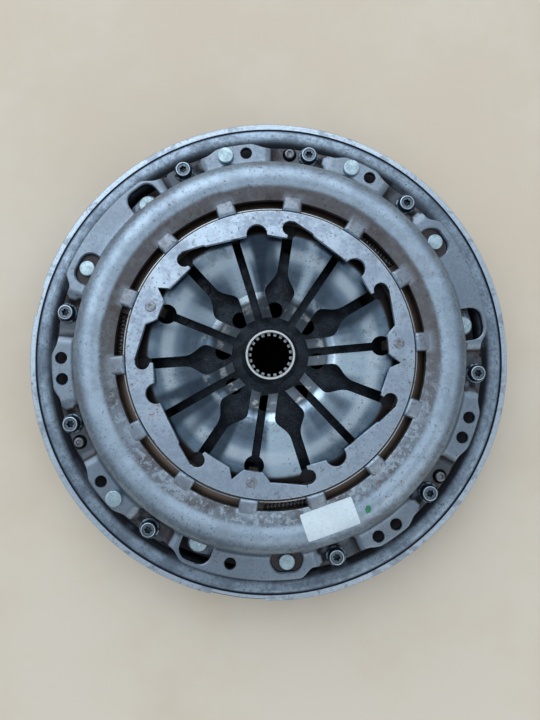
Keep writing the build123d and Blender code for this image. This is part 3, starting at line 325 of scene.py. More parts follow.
band_middle = (BAND_OUTER_R + BAND_INNER_R) / 2
band = arc((band_middle, BAND_TOP - BAND_CROWN_R), BAND_CROWN_R, 71, 109, 12)
band += arc(BAND_SHOULDER, BAND_SHOULDER_R, 80, 172, 12)
band += [
    (BAND_WALL_R, 30),
    (BAND_WALL_R, CHANNEL_ROOF),
    (CHANNEL_BORE_R, CHANNEL_ROOF),
    (CHANNEL_BORE_R, CHANNEL_ROOF_UNDER),
    (BAND_WALL_R + BAND_SHEET, CHANNEL_ROOF_UNDER),
    (BAND_WALL_R + BAND_SHEET, CHANNEL_SHELF - 2),
    (BAND_WALL_R + 5, CHANNEL_SHELF),
    (BAND_OUTER_R, CHANNEL_SHELF),
]
piece(
    "channel_cover", spin(band), "primary", "flywheel_sheet",
    metal("pressed_band", shown(98, 112, 126), shown(140, 160, 178), 20, (0.3, 0.45),
          specks=0.6, marks=band_marks, streaks=0.3, brushed=0.3),
    "primary_cover",
)

# -------- arc springs and bearing
# Two long coil springs in a greased channel turn the second mass; nylon shells line their
# outer side, and a bronze bush and washer carry the second mass on the first one's spigot.
dress(
    metal("greased_springs", shown(60, 64, 70), shown(96, 102, 110), 6),
    "arc_springs", "drive_plate",
)
dress(
    metal("nylon_shell", shown(44, 41, 37), shown(66, 61, 54), 8, (0.45, 0.6), 0.0),
    "spring_shells",
)
dress(
    metal("bronze", shown(146, 112, 66), shown(188, 150, 96), 6, (0.3, 0.45), rust=0, streaks=0.3),
    "pilot_bush", "thrust_washer",
)

# -------- second mass of the flywheel
# Cast iron, turned all over, with a pot wall that the clutch bolts to. Its friction face is
# polished by the disc; the rest is dark with a little rust, and painted shade makes its outside
# black where it shows down in the gap. The pressure plate is like it.
def iron_marks(place):
    """The polished track that the friction disc runs on, and painted shade that makes the outside black."""
    radius = radius_of(place)
    track = between(radius, 74, 76, 113.5, 115.5)
    # painted shade: black outside the track's wall, where it shows down in the gap round the cover
    gap_shade = step(radius, 116.5, 118.5)
    return ((track * 0.8, shown(150, 154, 158), 0.3), (gap_shade, shown(20, 23, 28), 0.65))


cast_iron = metal("turned_iron", shown(56, 54, 54), shown(84, 82, 82), 9, (0.42, 0.6), 0.7,
                  rust=0.6, marks=iron_marks, streaks=0.3, dents=0.5)
dress(cast_iron, "secondary_flywheel", "pressure_plate")
dress(metal("dull_rivets", shown(84, 88, 94), shown(128, 134, 140), 4), "drive_plate_rivets")

# -------- friction disc
# A broached steel hub on a thin web, wavy cushion segments, and two woven friction rings that
# are riveted to them. Only the hub and the web show, down between the diaphragm's fingers.
HUB_NOSE_R = (13.2, 14.7)
HUB_NOSE_FADE = 0.3


def solid(node):
    """A node's solid as a shape, its faces joined at their corners."""
    shape = bmesh.new()
    shape.from_mesh(nodes[node].data)
    bmesh.ops.remove_doubles(shape, verts=shape.verts[:], dist=1e-6)
    return shape


def settled(*holders):
    """The first object's shape as its modifier leaves it; the objects are used up."""
    result = bmesh.new()
    result.from_object(holders[0], bpy.context.evaluated_depsgraph_get())
    for holder in holders:
        mesh = holder.data
        bpy.data.objects.remove(holder)
        bpy.data.meshes.remove(mesh)
    return result


def softened(node, width, segments=2):
    """A node's solid with its sharp edges rounded."""
    shape = solid(node)
    bmesh.ops.dissolve_limit(
        shape, angle_limit=math.radians(0.8), verts=shape.verts[:], edges=shape.edges[:]
    )
    holder = as_object(shape)
    bevel = holder.modifiers.new("round", "BEVEL")
    bevel.width = width * MM
    bevel.segments = segments
    bevel.limit_method = "ANGLE"
    bevel.angle_limit = math.radians(40)
    return settled(holder)


def hub_marks(place):
    """A bright nose ring and bright tooth tips on an oily, dark hub, with painted shade down its bore."""
    radius = radius_of(place)
    height = height_of(place)
    inner, outer = HUB_NOSE_R
    teeth = step(radius, inner, inner - HUB_NOSE_FADE)
    nose = between(radius, inner, inner + HUB_NOSE_FADE, outer - HUB_NOSE_FADE, outer)
    high = step(height, 57.5, 59.5)
    return (
        (nose * high, shown(190, 198, 202), 0.35),
        (teeth * high * 0.8, shown(150, 160, 164), 0.4),
        # painted shade: the splines go nearly black down the bore
        (step(height, 60.0, 55.0) * teeth, shown(10, 12, 14), 0.6),
    )


piece(
    "spline_hub", softened("disc_hub", 0.25), "driven_disc", "hub_steel",
    metal("oily_hub", shown(28, 35, 42), shown(48, 58, 66), 5, (0.3, 0.45), 0.7, marks=hub_marks),
    "disc_hub", crease=50,
)
dress(
    metal("oily_web", shown(20, 28, 36), shown(46, 56, 66), 9, (0.28, 0.42), 0.7, specks=0.8),
    "disc_web", "cushion_segments",
)
dress(
    metal("disc_rivets", shown(30, 38, 44), shown(62, 70, 78), 3, metallic=0.7),
    "segment_rivets",
)
dress(metal("facing_rivet", shown(120, 92, 58), shown(160, 128, 84), 3), "facing_rivets")


def weave(place):
    """Brass and glass threads that show in the pressed friction lining."""
    threads = round_streaks(place, 0.9, 4)
    return ((step(threads, 0.56, 0.66) * 0.6, shown(128, 104, 70), 0.6),)


dress(
    metal("friction_lining", shown(44, 40, 36), shown(70, 62, 54), 5, (0.7, 0.85), 0.0,
          rust=0, marks=weave, dents=0.7),
    "facing_engine_side", "facing_gearbox_side",
)

# -------- leaf springs
# Three packs of two spring-steel leaves carry the pressure plate: one end is riveted to the
# cover and the other to the plate, so they bend when the plate lifts.
THIRDS = (0, 120, 240)
LEAF_COVER_END = (122.0, 34.6)  # radius, angle
LEAF_PLATE_END = (119.0, 9.0)
LEAF_MIDDLE = (120, 22)
LEAF_CLAMPED = 0.08  # the share of a leaf that each end's rivet holds still
LEAF_CUT = 6.0  # edges longer than this are divided, so that the leaf can bend


def on_circle(radius, angle):
    """A point on a circle round the axis, in metres."""
    return Vector((math.cos(math.radians(angle)), math.sin(math.radians(angle)))) * radius * MM


def bend(obj, still, moving, weight):
    """Let an object bend between two bodies, by a weight worked out for each of its points."""
    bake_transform(obj, still, moving, (0, 0, 0), (0, 0, 1))
    weights = obj.data.attributes["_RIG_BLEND"].data
    for vertex, share in zip(obj.data.vertices, weights):
        share.value = weight(vertex.co)


def leaf_weight(point):
    """How far along its leaf a point is, from the cover's rivet to the plate's."""
    radius, offset = LEAF_MIDDLE
    third = min(THIRDS, key=lambda turn: (on_circle(radius, turn + offset).to_3d() - point).length)
    start = on_circle(LEAF_COVER_END[0], third + LEAF_COVER_END[1])
    reach = on_circle(LEAF_PLATE_END[0], third + LEAF_PLATE_END[1]) - start
    share = (point.to_2d() - start).dot(reach) / reach.length_squared
    share = min(max((share - LEAF_CLAMPED) / (1 - 2 * LEAF_CLAMPED), 0), 1)
    return share * share * (3 - 2 * share)


leaf_shape = softened("leaf_springs", 0.2)
bmesh.ops.subdivide_edges(
    leaf_shape, cuts=8, use_grid_fill=True,
    edges=[edge for edge in leaf_shape.edges if edge.calc_length() > LEAF_CUT * MM],
)
leaves = piece(
    "leaf_packs", leaf_shape, None, "spring_steel",
    metal("leaf_steel", shown(58, 66, 76), shown(104, 116, 130), 7, (0.3, 0.45), specks=0.6),
    "leaf_springs",
)
bend(leaves, "secondary", "pressure_plate", leaf_weight)

# -------- diaphragm and sensor springs
# One dished disc of blued spring steel, slotted into fourteen fingers whose tips the release
# bearing pushes; its polished fingers are ground in circles. The thin sensor spring below
# holds it up against the adjuster ring.
DIAPHRAGM_T = 2.6
DIAPHRAGM_TOP = (  # radius, height of the upper face
    (23.1, 54.9), (26.5, 55.3), (29.5, 56.3), (31.5, 56.7), (33.5, 57.3), (35.5, 59.2),
    (37.5, 60.5), (40.0, 60.9), (46.0, 61.6), (58.0, 63.3), (68.0, 64.8), (71.5, 65.15),
    (80.0, 65.15), (99.0, 65.15),
)
SOLID_MIDDLE = ((23.1, 53.9), (31.0, 55.1), (35.5, 58.7), (71.0, 63.9), (200.0, 63.9))
CUTTER_REACH = (30, 90)  # heights that the node's outline is drawn out to
PIVOT_R = (69.0, 90.0)  # held between the adjuster ring and the sensor spring
TIP_SHARE = -2.3  # a fingertip goes down by this much of the plate's lift
RIM_SHARE_R = 98.0


def combine(base, tool, operation):
    """Join a shape to another one, cut it away or keep what they share."""
    holders = [as_object(base), as_object(tool)]
    boolean = holders[0].modifiers.new("combine", "BOOLEAN")
    boolean.operation = operation
    boolean.solver = "MANIFOLD"
    boolean.object = holders[1]
    return settled(*holders)


def eased(points, spacing, passes):
    """A line of points made finer and smoothed, its ends kept."""
    line = [points[0]]
    for start, end in zip(points, points[1:]):
        count = max(1, round(math.dist(start, end) / spacing))
        for index in range(1, count + 1):
            line.append(tuple(a + (b - a) * index / count for a, b in zip(start, end)))
    for _ in range(passes):
        middle = [
            tuple((a + 2 * b + c) / 4 for a, b, c in zip(*three))
            for three in zip(line, line[1:], line[2:])
        ]
        line = [line[0], *middle, line[-1]]
    return line


upper_face = eased(DIAPHRAGM_TOP, 1.0, 4)
lower_face = [(radius, height - DIAPHRAGM_T) for radius, height in reversed(upper_face)]
blank = spin(upper_face + lower_face, 540)

cutter = solid("diaphragm_spring")
for vertex in cutter.verts:
    reach = vertex.co.to_2d().length / MM
    for (near, low), (far, high) in zip(SOLID_MIDDLE, SOLID_MIDDLE[1:]):
        if reach <= far:
            share = min(max((reach - near) / (far - near), 0), 1)
            middle = low + (high - low) * share
            break
    vertex.co.z = CUTTER_REACH[vertex.co.z / MM > middle] * MM
fingers = combine(blank, cutter, "INTERSECT")


def finger_marks(place):
    """Ground rings that double as painted reflection rings, a painted fan of light and dark reflections, a
    painted reflection ring and dark band, dull toes, and a rim painted dark brown as shade under the ring,
    lighter brown further out.
    """
    radius = radius_of(place)
    ground_and_reflection_rings = clouds(radius.node("CombineXYZ", {}, {0: radius / 6.5}), 1000, 2)
    round_axis = {0: along(place, 0) * 1000 / radius, 1: along(place, 1) * 1000 / radius}
    # painted reflections: noise round the axis that falls into wedges across the fingers
    reflection_fan = clouds(radius.node("CombineXYZ", {}, {**round_axis, 2: radius / 260}), 330, 1)
    ring_reflection = between(radius, 55, 59, 62, 66) * step(reflection_fan, 0.36, 0.52) * 0.6
    smear = clouds(place, 26, 4, 0.7)
    crest = between(radius, 35.0, 37.5, 40, 43)
    toe = between(radius, 27.5, 29.0, 31.5, 33.0)
    rubbed = step(clouds(place, 7, 3), 0.46, 0.60)
    return (
        # ground rings, lightened partly as painted reflection rings
        (step(ground_and_reflection_rings, 0.44, 0.60) * 0.45, shown(130, 150, 168), 0.22),
        # painted dark reflection: a band across the fingers' middle
        (between(radius, 41, 45, 50, 56) * 0.6, shown(70, 82, 96), 0.26),
        # painted highlights and painted dark reflections in the fan
        (step(reflection_fan, 0.52, 0.68) * 0.75, shown(184, 208, 224), 0.2),
        (step(reflection_fan, 0.50, 0.36) * 0.85, shown(40, 52, 64), 0.26),
        # painted highlight: a bright reflection ring across the fingers
        (ring_reflection, shown(196, 214, 226), 0.2),
        (step(smear, 0.57, 0.65) * 0.35, shown(58, 62, 68), 0.36),
        (crest * rubbed * 0.4, shown(170, 182, 190), 0.36),
        (step(radius, 35.5, 33.5) * 0.9, shown(56, 62, 68), 0.38),
        (toe * rubbed * 0.6, shown(150, 156, 158), 0.26),
        # painted shade: dark brown under the edge of the support ring
        (step(radius, 70.0, 72.5), shown(54, 48, 46), 0.5),
        (step(radius, 82.5, 84.5), shown(128, 113, 102), 0.45),
    )


def finger_weight(point):
    """The rim lifts with the pressure plate and the fingertips go down."""
    reach = point.to_2d().length / MM
    if reach > PIVOT_R[1]:
        return min(1, (reach - PIVOT_R[1]) / (RIM_SHARE_R - PIVOT_R[1]))
    return TIP_SHARE * max(0, PIVOT_R[0] - reach) / (PIVOT_R[0] - DIAPHRAGM_TOP[0][0])


diaphragm = piece(
    "diaphragm", fingers, None, "diaphragm_steel",
    metal("polished_spring", shown(84, 103, 120), shown(108, 130, 148), 30, (0.2, 0.28), 1.0,
          specks=0.5, rust=0.1, marks=finger_marks, streaks=0.5, dents=0.1, brushed=0.7),
    "diaphragm_spring",
)
bend(diaphragm, "secondary", "pressure_plate", finger_weight)
# painted shade: the sensor spring is made nearly black, as it lies in shade under the diaphragm
dress(
    metal("shade_dark_spring", shown(20, 22, 26), shown(36, 38, 42), 10, (0.4, 0.55), 0.6),
    "sensor_spring",
)

# -------- pressed cover
# One sheet of oiled steel, pressed into a fat bead with a bolting flange round it: three wide
# lands and six pads stand up between the bolt seats. Inside, fourteen ribs cross the windows
# to the inner flange that the diaphragm pushes up against.
SHEET = 3.5
SEAT_TOP = 53.1
LAND_RISE = 4.5
LAND_TOP = SEAT_TOP + LAND_RISE
FOOT_R = 118.7  # of the bead's wall, at the flange's underside
WALL_LEAN = 15.0  # degrees
SLOPE = 12.0  # degrees, from the crest down to the windows
SHOULDER = (102.47, 65.5)  # the centre of the bead's round shoulder
SHOULDER_R = 11.5
WINDOW_R = 88.4
WINDOW_ROUND = 0.6
WINDOW_UNDER = 2.8  # from the slope down to the middle of the rim's lower round
FOOT_ROUND = 2.5
EDGE_R = 128.9  # of the flange at the bolts
EDGE_ROUND = 0.9
WIDE_LANDS = ((3.4, 41.6, 132.3),)  # from, to, radius of the edge
PADS = ((56.6, 72.4, 130.2), (91.6, 107.9, 130.2))
SEATS = ((45.4, 51.6, 128.9), (76.6, 86.4, 128.9), (112.4, 118.2, 128.9))
NOTCH_R = 127.3
LAND_SLOPE = 3.9  # degrees, down from a land's end
CORNER = 4.0  # degrees, from a land's end to its full width
BOLT_ANGLES = (48.2, 79.1, 115.1)
DARTS = (44.3, 75.0, 110.9)  # small folds between a bolt and the land before it
DART_RISE = 1.5
DART_WIDTH = 0.9  # degrees
DART_FROM = (119.5, 122)  # a fold grows between these radii
DART_TO = (128.5, 126)  # and dies out between these
LIFT_END = SEAT_TOP + 13  # the wall of the bead is plain from here up
RIBS = 14
FIRST_RIB = 4.5
RIB_W = 11.2
RIB_R = (82.0, 92.2)
RIB_FOOT = 72.5
RIB_TOP = 76.1
RIB_ROUND = 2.2
RIB_CREST_R = 86.0  # from here a rib's top falls into the slope
RIB_RUN_OUT = 0.3
RISER = 2  # how far a rib's inner end reaches down into the inner flange
INNER_FLANGE_R = (76.8, 84.0)
INNER_FLANGE_TOP = 73.05
INNER_FLANGE_ROUND = 0.6
POCKET_R = 121.0
POCKET_W = 13.4
POCKET_PULL = 2.9  # half the length of its straight sides
POCKET_FLOOR = 55.0
POCKET_ROUND = 1.2
POCKET_LIP = 0.9
CUTTER_TOP = 66  # clear above the flange
CUTTER_FOOT = 45  # and below it
BOSS_R = 8.2
BOSS_HEIGHTS = (51.6, 56.4)
GAP_R = (112.7, 129.6)  # the D-shaped holes over the plate's rivets
GAP_MIDDLE_R = 120
GAP_HALF = 9.8
GAP_ROUND = 6.5
GAP_FLARE = ((0.8, 1.10), (2.2, 1.0))  # rise and growth of a hole's mouth
BALANCE_R = 124.4
BALANCE_ANGLES = (60.8, 66.6, 96.8, 102.6)
WEIGHT_ANGLES = (66.6, 102.6, 222.6)  # the holes that a balance rivet fills
EXTRA_HOLE = 259.1
DOWEL_ANGLE = 84.5
BOLT_R = 125.0
BALANCE_HOLE_R = 3.4
BOLT_HOLE_R = 3.6
DOWEL_HOLE_R = 4.0
RIVET_HOLE_R = 2.75


def ease(value, low, high):
    """0 at low and 1 at high, with a soft slope between; high may be the smaller."""
    share = min(max((value - low) / (high - low), 0), 1)
    return share * share * (3 - 2 * share)


def land_height(angle):
    """How far the flange is pressed up at an angle, from 0 to 1."""
    angle %= 120
    lift = 0
    for start, end, _ in WIDE_LANDS + PADS:
        for turn in (0, 120, -120):
            here = angle + turn
            risen = ease(here, start - LAND_SLOPE, start)
            fallen = ease(here, end + LAND_SLOPE, end)
            lift = max(lift, min(risen, fallen))
    return lift


edge_keys = []
for start, end, radius in sorted(WIDE_LANDS + PADS + SEATS):
    margin = 0 if radius == EDGE_R else CORNER
    edge_keys += [(start + margin, radius), (end - margin, radius)]
waves = [edge_keys[0]]
for (angle, radius), (next_angle, next_radius) in zip(edge_keys[1::2], edge_keys[2::2]):
    waves += [(angle, radius), ((angle + next_angle) / 2, NOTCH_R), (next_angle, next_radius)]
waves += [edge_keys[-1], ((edge_keys[-1][0] + edge_keys[0][0] + 120) / 2, NOTCH_R)]
waves = [(waves[-1][0] - 120, NOTCH_R)] + waves + [(waves[0][0] + 120, waves[0][1])]


def edge_radius(angle):
    """The radius of the flange's wavy edge at an angle."""
    angle %= 120
    for (start, near), (end, far) in zip(waves, waves[1:]):
        if start <= angle <= end:
            return near + (far - near) * ease(angle, start, end)
    return NOTCH_R


def bead_height(radius):
    """The height of the bead's outside, from its crest down to the windows."""
    slope_from = SHOULDER[0] - SHOULDER_R * math.sin(math.radians(SLOPE))
    if radius > slope_from:
        return SHOULDER[1] + math.sqrt(max(SHOULDER_R ** 2 - (radius - SHOULDER[0]) ** 2, 0))
    top = SHOULDER[1] + SHOULDER_R * math.cos(math.radians(SLOPE))
    return top - (slope_from - radius) * math.tan(math.radians(SLOPE))


def wall(thickness, rises):
    """Points up the bead's leaning wall, on its outside or a sheet's thickness in from it."""
    off = FOOT_ROUND + thickness
    return [(foot_centre[0] - off * math.cos(lean) - rise * math.tan(lean),
             foot_centre[1] - off * math.sin(lean) + rise) for rise in rises]


lean = math.radians(WALL_LEAN)
wall_r = FOOT_R - SHEET * math.tan(lean)
foot_centre = (wall_r + FOOT_ROUND * (1 - math.sin(lean)) / math.cos(lean), SEAT_TOP + FOOT_ROUND)
slope_low = bead_height(WINDOW_R)
outline = arc((EDGE_R - EDGE_ROUND, SEAT_TOP - EDGE_ROUND), EDGE_ROUND, 0, 90, 3)
outline += [(radius, SEAT_TOP) for radius in range(127, 120, -1)]
outline += arc(foot_centre, FOOT_ROUND, 270, 180 + WALL_LEAN, 4)
outline += wall(0, (2.5, 5, 7.5, 10))
outline += arc(SHOULDER, SHOULDER_R, WALL_LEAN, 90 + SLOPE, 16)
outline += [(96, bead_height(96)), (92, bead_height(92))]
for drop, start in ((WINDOW_ROUND, 100), (WINDOW_UNDER, 180)):
    centre = (WINDOW_R + WINDOW_ROUND, slope_low - drop)
    outline += arc(centre, WINDOW_ROUND, start, start + 80, 3)
outline += arc(SHOULDER, SHOULDER_R - SHEET, 90 + SLOPE, WALL_LEAN, 10)
outline += wall(SHEET, (9, 6, 3))
outline += arc(foot_centre, FOOT_ROUND + SHEET, 180 + WALL_LEAN, 270, 4)
outline += [(122, SEAT_TOP - SHEET), (125, SEAT_TOP - SHEET)]
outline += arc((EDGE_R - EDGE_ROUND, SEAT_TOP - SHEET + EDGE_ROUND), EDGE_ROUND, 270, 360, 3)
STEPS = 720
lifts = [LAND_RISE * land_height(index * 360 / STEPS) for index in range(STEPS)]
edges = [edge_radius(index * 360 / STEPS) for index in range(STEPS)]
darts = [
    sum(math.exp(-((index * 360 / STEPS % 120 - dart) / DART_WIDTH) ** 2) for dart in DARTS)
    for index in range(STEPS)
]
sheet = spin(outline, STEPS)
for vertex in sheet.verts:
    reach = vertex.co.to_2d().length / MM
    level = vertex.co.z / MM
    if level > LIFT_END:
        continue
    index = round(math.degrees(math.atan2(vertex.co.y, vertex.co.x)) * STEPS / 360) % STEPS
    if reach > FOOT_R and level < SEAT_TOP + 0.1:
        stretch = (edges[index] - FOOT_R) / (EDGE_R - FOOT_R)
        longer = (FOOT_R + (reach - FOOT_R) * stretch) / reach
        vertex.co.x *= longer
        vertex.co.y *= longer
    fold = DART_RISE * darts[index] * ease(reach, *DART_FROM) * ease(reach, *DART_TO)
    vertex.co.z = (level + lifts[index] * ease(level, LIFT_END, SEAT_TOP) + fold) * MM


def block(x, y, z, rounds, rounding):
    """A box between pairs of limits, with the edges that a test picks rounded."""
    shape = bmesh.new()
    bmesh.ops.create_cube(shape, size=1)
    size = [(high - low) * MM for low, high in (x, y, z)]
    middle = Vector([(high + low) / 2 * MM for low, high in (x, y, z)])
    bmesh.ops.scale(shape, vec=size, verts=shape.verts[:])
    bmesh.ops.translate(shape, vec=middle, verts=shape.verts[:])
    picked = [edge for edge in shape.edges if rounds(edge, middle)]
    bmesh.ops.bevel(shape, geom=picked, offset=rounding * MM, offset_type="OFFSET", segments=4,
                    profile=0.5, affect="EDGES", material=-1, clamp_overlap=True)
    return shape


def repeat(shape, places):
    """Copies of a shape at (radius, angle, own turn) places, as one shape."""
    first = shape.verts[:] + shape.edges[:] + shape.faces[:]
    for radius, angle, turn in places:
        copied = bmesh.ops.duplicate(shape, geom=first)["geom"]
        place = Matrix.Rotation(math.radians(angle), 4, "Z")
        place = place @ Matrix.Translation((radius * MM, 0, 0))
        place = place @ Matrix.Rotation(math.radians(turn), 4, "Z")
        bmesh.ops.transform(shape, matrix=place, verts=corners_in(copied))
    bmesh.ops.delete(shape, geom=first, context="VERTS")
    return shape


def thirds(radius, *angles):
    """The same places in each third of the cover."""
    return [(radius, third + angle, 0) for third in THIRDS for angle in angles]


def slotted(shape, pull):
    """A turned shape pulled apart along Y, which makes a slot of a circle."""
    for vertex in shape.verts:
        if abs(vertex.co.y) > 1e-7:
            vertex.co.y += math.copysign(pull * MM, vertex.co.y)
    return shape


def pull_up(shape, faces, height, closed=False):
    """Extrude faces of a shape upwards; a closed one keeps them as its underside."""
    pulled = bmesh.ops.extrude_face_region(shape, geom=faces)["geom"]
    if not closed:
        bmesh.ops.delete(shape, geom=faces, context="FACES_ONLY")
    bmesh.ops.translate(shape, vec=(0, 0, height * MM), verts=corners_in(pulled))
    return pulled


def divide(shape, radius):
    """Cut a shape's faces across at a distance along X, and keep both sides."""
    bmesh.ops.bisect_plane(shape, geom=shape.verts[:] + shape.edges[:] + shape.faces[:],
                           dist=1e-7, plane_co=(radius * MM, 0, 0), plane_no=(1, 0, 0))


def upper(edge, middle):
    """Whether an edge runs along the top of its block."""
    return all(vertex.co.z > middle.z for vertex in edge.verts)


def outer_upright(edge, middle):
    """Whether an edge is one of the upright ones on a block's outer side."""
    low, high = edge.verts
    return low.co.x > middle.x and high.co.x > middle.x and abs(low.co.z - high.co.z) > MM


rib_angles = [FIRST_RIB + 360 * rib / RIBS for rib in range(RIBS)]
rib = block(RIB_R, (-RIB_W / 2, RIB_W / 2), (RIB_FOOT, RIB_TOP), upper, RIB_ROUND)
divide(rib, INNER_FLANGE_R[1])
under = [face for face in rib.faces if face.normal.z < -0.9]
under = [face for face in under if face.calc_center_median().x < INNER_FLANGE_R[1] * MM]
pull_up(rib, under, -RISER)
divide(rib, RIB_CREST_R)
for vertex in rib.verts:
    vertex.co.z -= max(0, vertex.co.x - RIB_CREST_R * MM) * RIB_RUN_OUT
ribs = repeat(rib, [(0, angle, 0) for angle in rib_angles])

low_r, high_r = INNER_FLANGE_R
low_z = INNER_FLANGE_TOP - SHEET
round_z = INNER_FLANGE_TOP - INNER_FLANGE_ROUND
inner_flange = spin(
    arc((high_r - INNER_FLANGE_ROUND, round_z), INNER_FLANGE_ROUND, 0, 90, 3)
    + arc((low_r + INNER_FLANGE_ROUND, round_z), INNER_FLANGE_ROUND, 90, 180, 3)
    + [(low_r, low_z), (high_r, low_z)],
)
foot, top = BOSS_HEIGHTS
boss = slotted(spin([(0, foot), (BOSS_R, foot), (BOSS_R, top), (0, top)], 48, False), POCKET_PULL)
bosses = repeat(boss, thirds(POCKET_R, LEAF_COVER_END[1]))
cover = combine(sheet, bosses, "UNION")
cover = combine(cover, inner_flange, "UNION")
cover = combine(cover, ribs, "UNION")

half = POCKET_W / 2
inset = half - POCKET_ROUND
pocket = spin(
    [(0, POCKET_FLOOR), (inset, POCKET_FLOOR)]
    + arc((inset, POCKET_FLOOR + POCKET_ROUND), POCKET_ROUND, 290, 360, 3)
    + [(half, LAND_TOP - 0.7), (half + POCKET_LIP, LAND_TOP + 0.15)]
    + [(half + POCKET_LIP, CUTTER_TOP), (0, CUTTER_TOP)],
    48, False,
)
pockets = repeat(slotted(pocket, POCKET_PULL), thirds(POCKET_R, LEAF_COVER_END[1]))
cover = combine(cover, pockets, "DIFFERENCE")

rivet_gap = block(
    GAP_R, (-GAP_HALF, GAP_HALF), (48, LAND_TOP - 0.5), outer_upright, GAP_ROUND
)
mouth = [face for face in rivet_gap.faces if face.normal.z > 0.9]
for rise, grow in GAP_FLARE:
    raised = pull_up(rivet_gap, mouth, rise)
    mouth = [item for item in raised if isinstance(item, bmesh.types.BMFace)]
    about = Matrix.Translation((-GAP_MIDDLE_R * MM, 0, 0))
    bmesh.ops.scale(rivet_gap, vec=(grow, grow, 1), space=about, verts=corners_in(raised))
bmesh.ops.recalc_face_normals(rivet_gap, faces=rivet_gap.faces[:])
gaps = repeat(rivet_gap, thirds(0, LEAF_PLATE_END[1]))
cover = combine(cover, gaps, "DIFFERENCE")


def drill(radius, top, countersink=0.4):
    """A cutter for a punched hole, a little rounded where it comes out on top."""
    wide = radius + countersink
    return spin([(0, CUTTER_FOOT), (radius, CUTTER_FOOT), (radius, top - countersink),
                 (wide, top + 0.1), (wide, top + 1.5), (0, top + 1.5)], 40, False)


balance_holes = thirds(BALANCE_R, *BALANCE_ANGLES) + [(BALANCE_R, EXTRA_HOLE, 0)]
for tool, places in (
    (drill(BALANCE_HOLE_R, LAND_TOP), balance_holes),
    (drill(BOLT_HOLE_R, SEAT_TOP), thirds(BOLT_R, *BOLT_ANGLES)),
    (drill(DOWEL_HOLE_R, SEAT_TOP), thirds(BOLT_R, DOWEL_ANGLE)),
    (drill(RIVET_HOLE_R, POCKET_FLOOR, 0.1), thirds(*LEAF_COVER_END)),
):
    cover = combine(cover, repeat(tool, places), "DIFFERENCE")


def cover_marks(place):
    """Brown-grey slopes between lighter ribs, with painted shade on the upper side; dark seats, painted as
    shade, with brown patches; bright lands, old stains and a painted highlight on the inner flange's edge.
    """
    radius = radius_of(place)
    height = height_of(place)
    cloud = clouds(place, 19, 4, 0.65)
    ragged = radius + (cloud - 0.5) * 4
    off_rib = (angle_of(place) - FIRST_RIB).maths("PINGPONG", 180 / RIBS)
    off_rib = off_rib * radius * math.radians(1)
    rib_zone = step(off_rib, 7.4, 4.6) * step(radius, 95.0, 90.0)
    slope = step(ragged, 97.6, 95.2) * step(radius, 84.2, 84.8)
    outside = step(radius, 117.2, 119.0)
    seat = outside * step(height, 56.6, 54.4)
    crest = between(radius, 95, 98.5, 104, 110)
    stain = step(clouds(place, 24, 5, 0.7), 0.53, 0.62)
    crust = step(clouds(place, 4.5, 5, 0.75), 0.50, 0.58)
    shade = step(along(place, 1), -0.06, 0.02)  # the upper side, painted as shade where the slope faces away from the light
    pit = between(height, 54.4, 54.9, 55.4, 56.2) * step(radius, 112, 113) * 0.8
    inner = step(radius, 84.8, 84.2) * step(height, 74.5, 73.5)
    return (
        (stain * 0.45, shown(104, 106, 114), 0.48),
        (crest * (0.45 + step(cloud, 0.42, 0.6) * 0.3), shown(164, 184, 202), 0.42),
        (outside * 0.6, shown(120, 134, 148), 0.32),
        # brown-grey slopes, with painted shade making the upper side darker
        (slope * (0.35 + shade * 0.55), shown(90, 88, 90), 0.42),
        (slope * step(cloud, 0.50, 0.62) * 0.55, shown(72, 66, 64), 0.48),
        # light peeled patches, kept mostly off the side painted in shade
        (slope * crust * (1 - shade * 0.85) * 0.6, shown(156, 174, 188), 0.38),
        (rib_zone * (0.5 - crust * 0.35), shown(150, 166, 182), 0.4),
        # painted shade: the low bolt seats are darker
        (seat * 0.85, shown(62, 66, 72), 0.4),
        (seat * step(cloud, 0.50, 0.60) * 0.6, shown(54, 46, 43), 0.52),
        (inner, shown(70, 66, 64), 0.42),
        # painted highlight along the inner flange's round edge
        (inner * step(radius, 83.1, 83.6) * step(height, 72.2, 72.6), shown(176, 190, 200), 0.3),
        (pit, shown(52, 46, 44), 0.5),
    )


piece(
    "pressed_cover", cover, "secondary", "cover_steel",
    metal("oiled_pressing", shown(104, 120, 135), shown(130, 148, 164), 17, (0.42, 0.54), 0.92,
          specks=0.5, rust=0.85, marks=cover_marks, dents=0.3),
    "clutch_cover", crease=30,
)

# -------- bolts, dowels and rivets
# Nine phosphated bolts with a six-lobed socket hold the cover to the flywheel, with three
# plain dowels beside them. Bright rivets hold the leaves and balance the cover.
BOLT_FOOT = 43.6
BOLT_SHANK_R = 3.5
BOLT_FLANGE_R = 6.1
BOLT_HEAD_R = 4.4
BOLT_TOP = SEAT_TOP + 5.2
SOCKET_DEPTH = 2.6
SOCKET_R = (2.2, 2.4)  # at its floor and above its mouth
SOCKET_LOBES = 0.24


def lobed(shape, depth):
    """Draw a round shape in between six lobes."""
    for vertex in shape.verts:
        angle = math.atan2(vertex.co.y, vertex.co.x)
        shrink = 1 + depth * (math.cos(6 * angle) - 1) / 2
        vertex.co.x *= shrink
        vertex.co.y *= shrink
    return shape


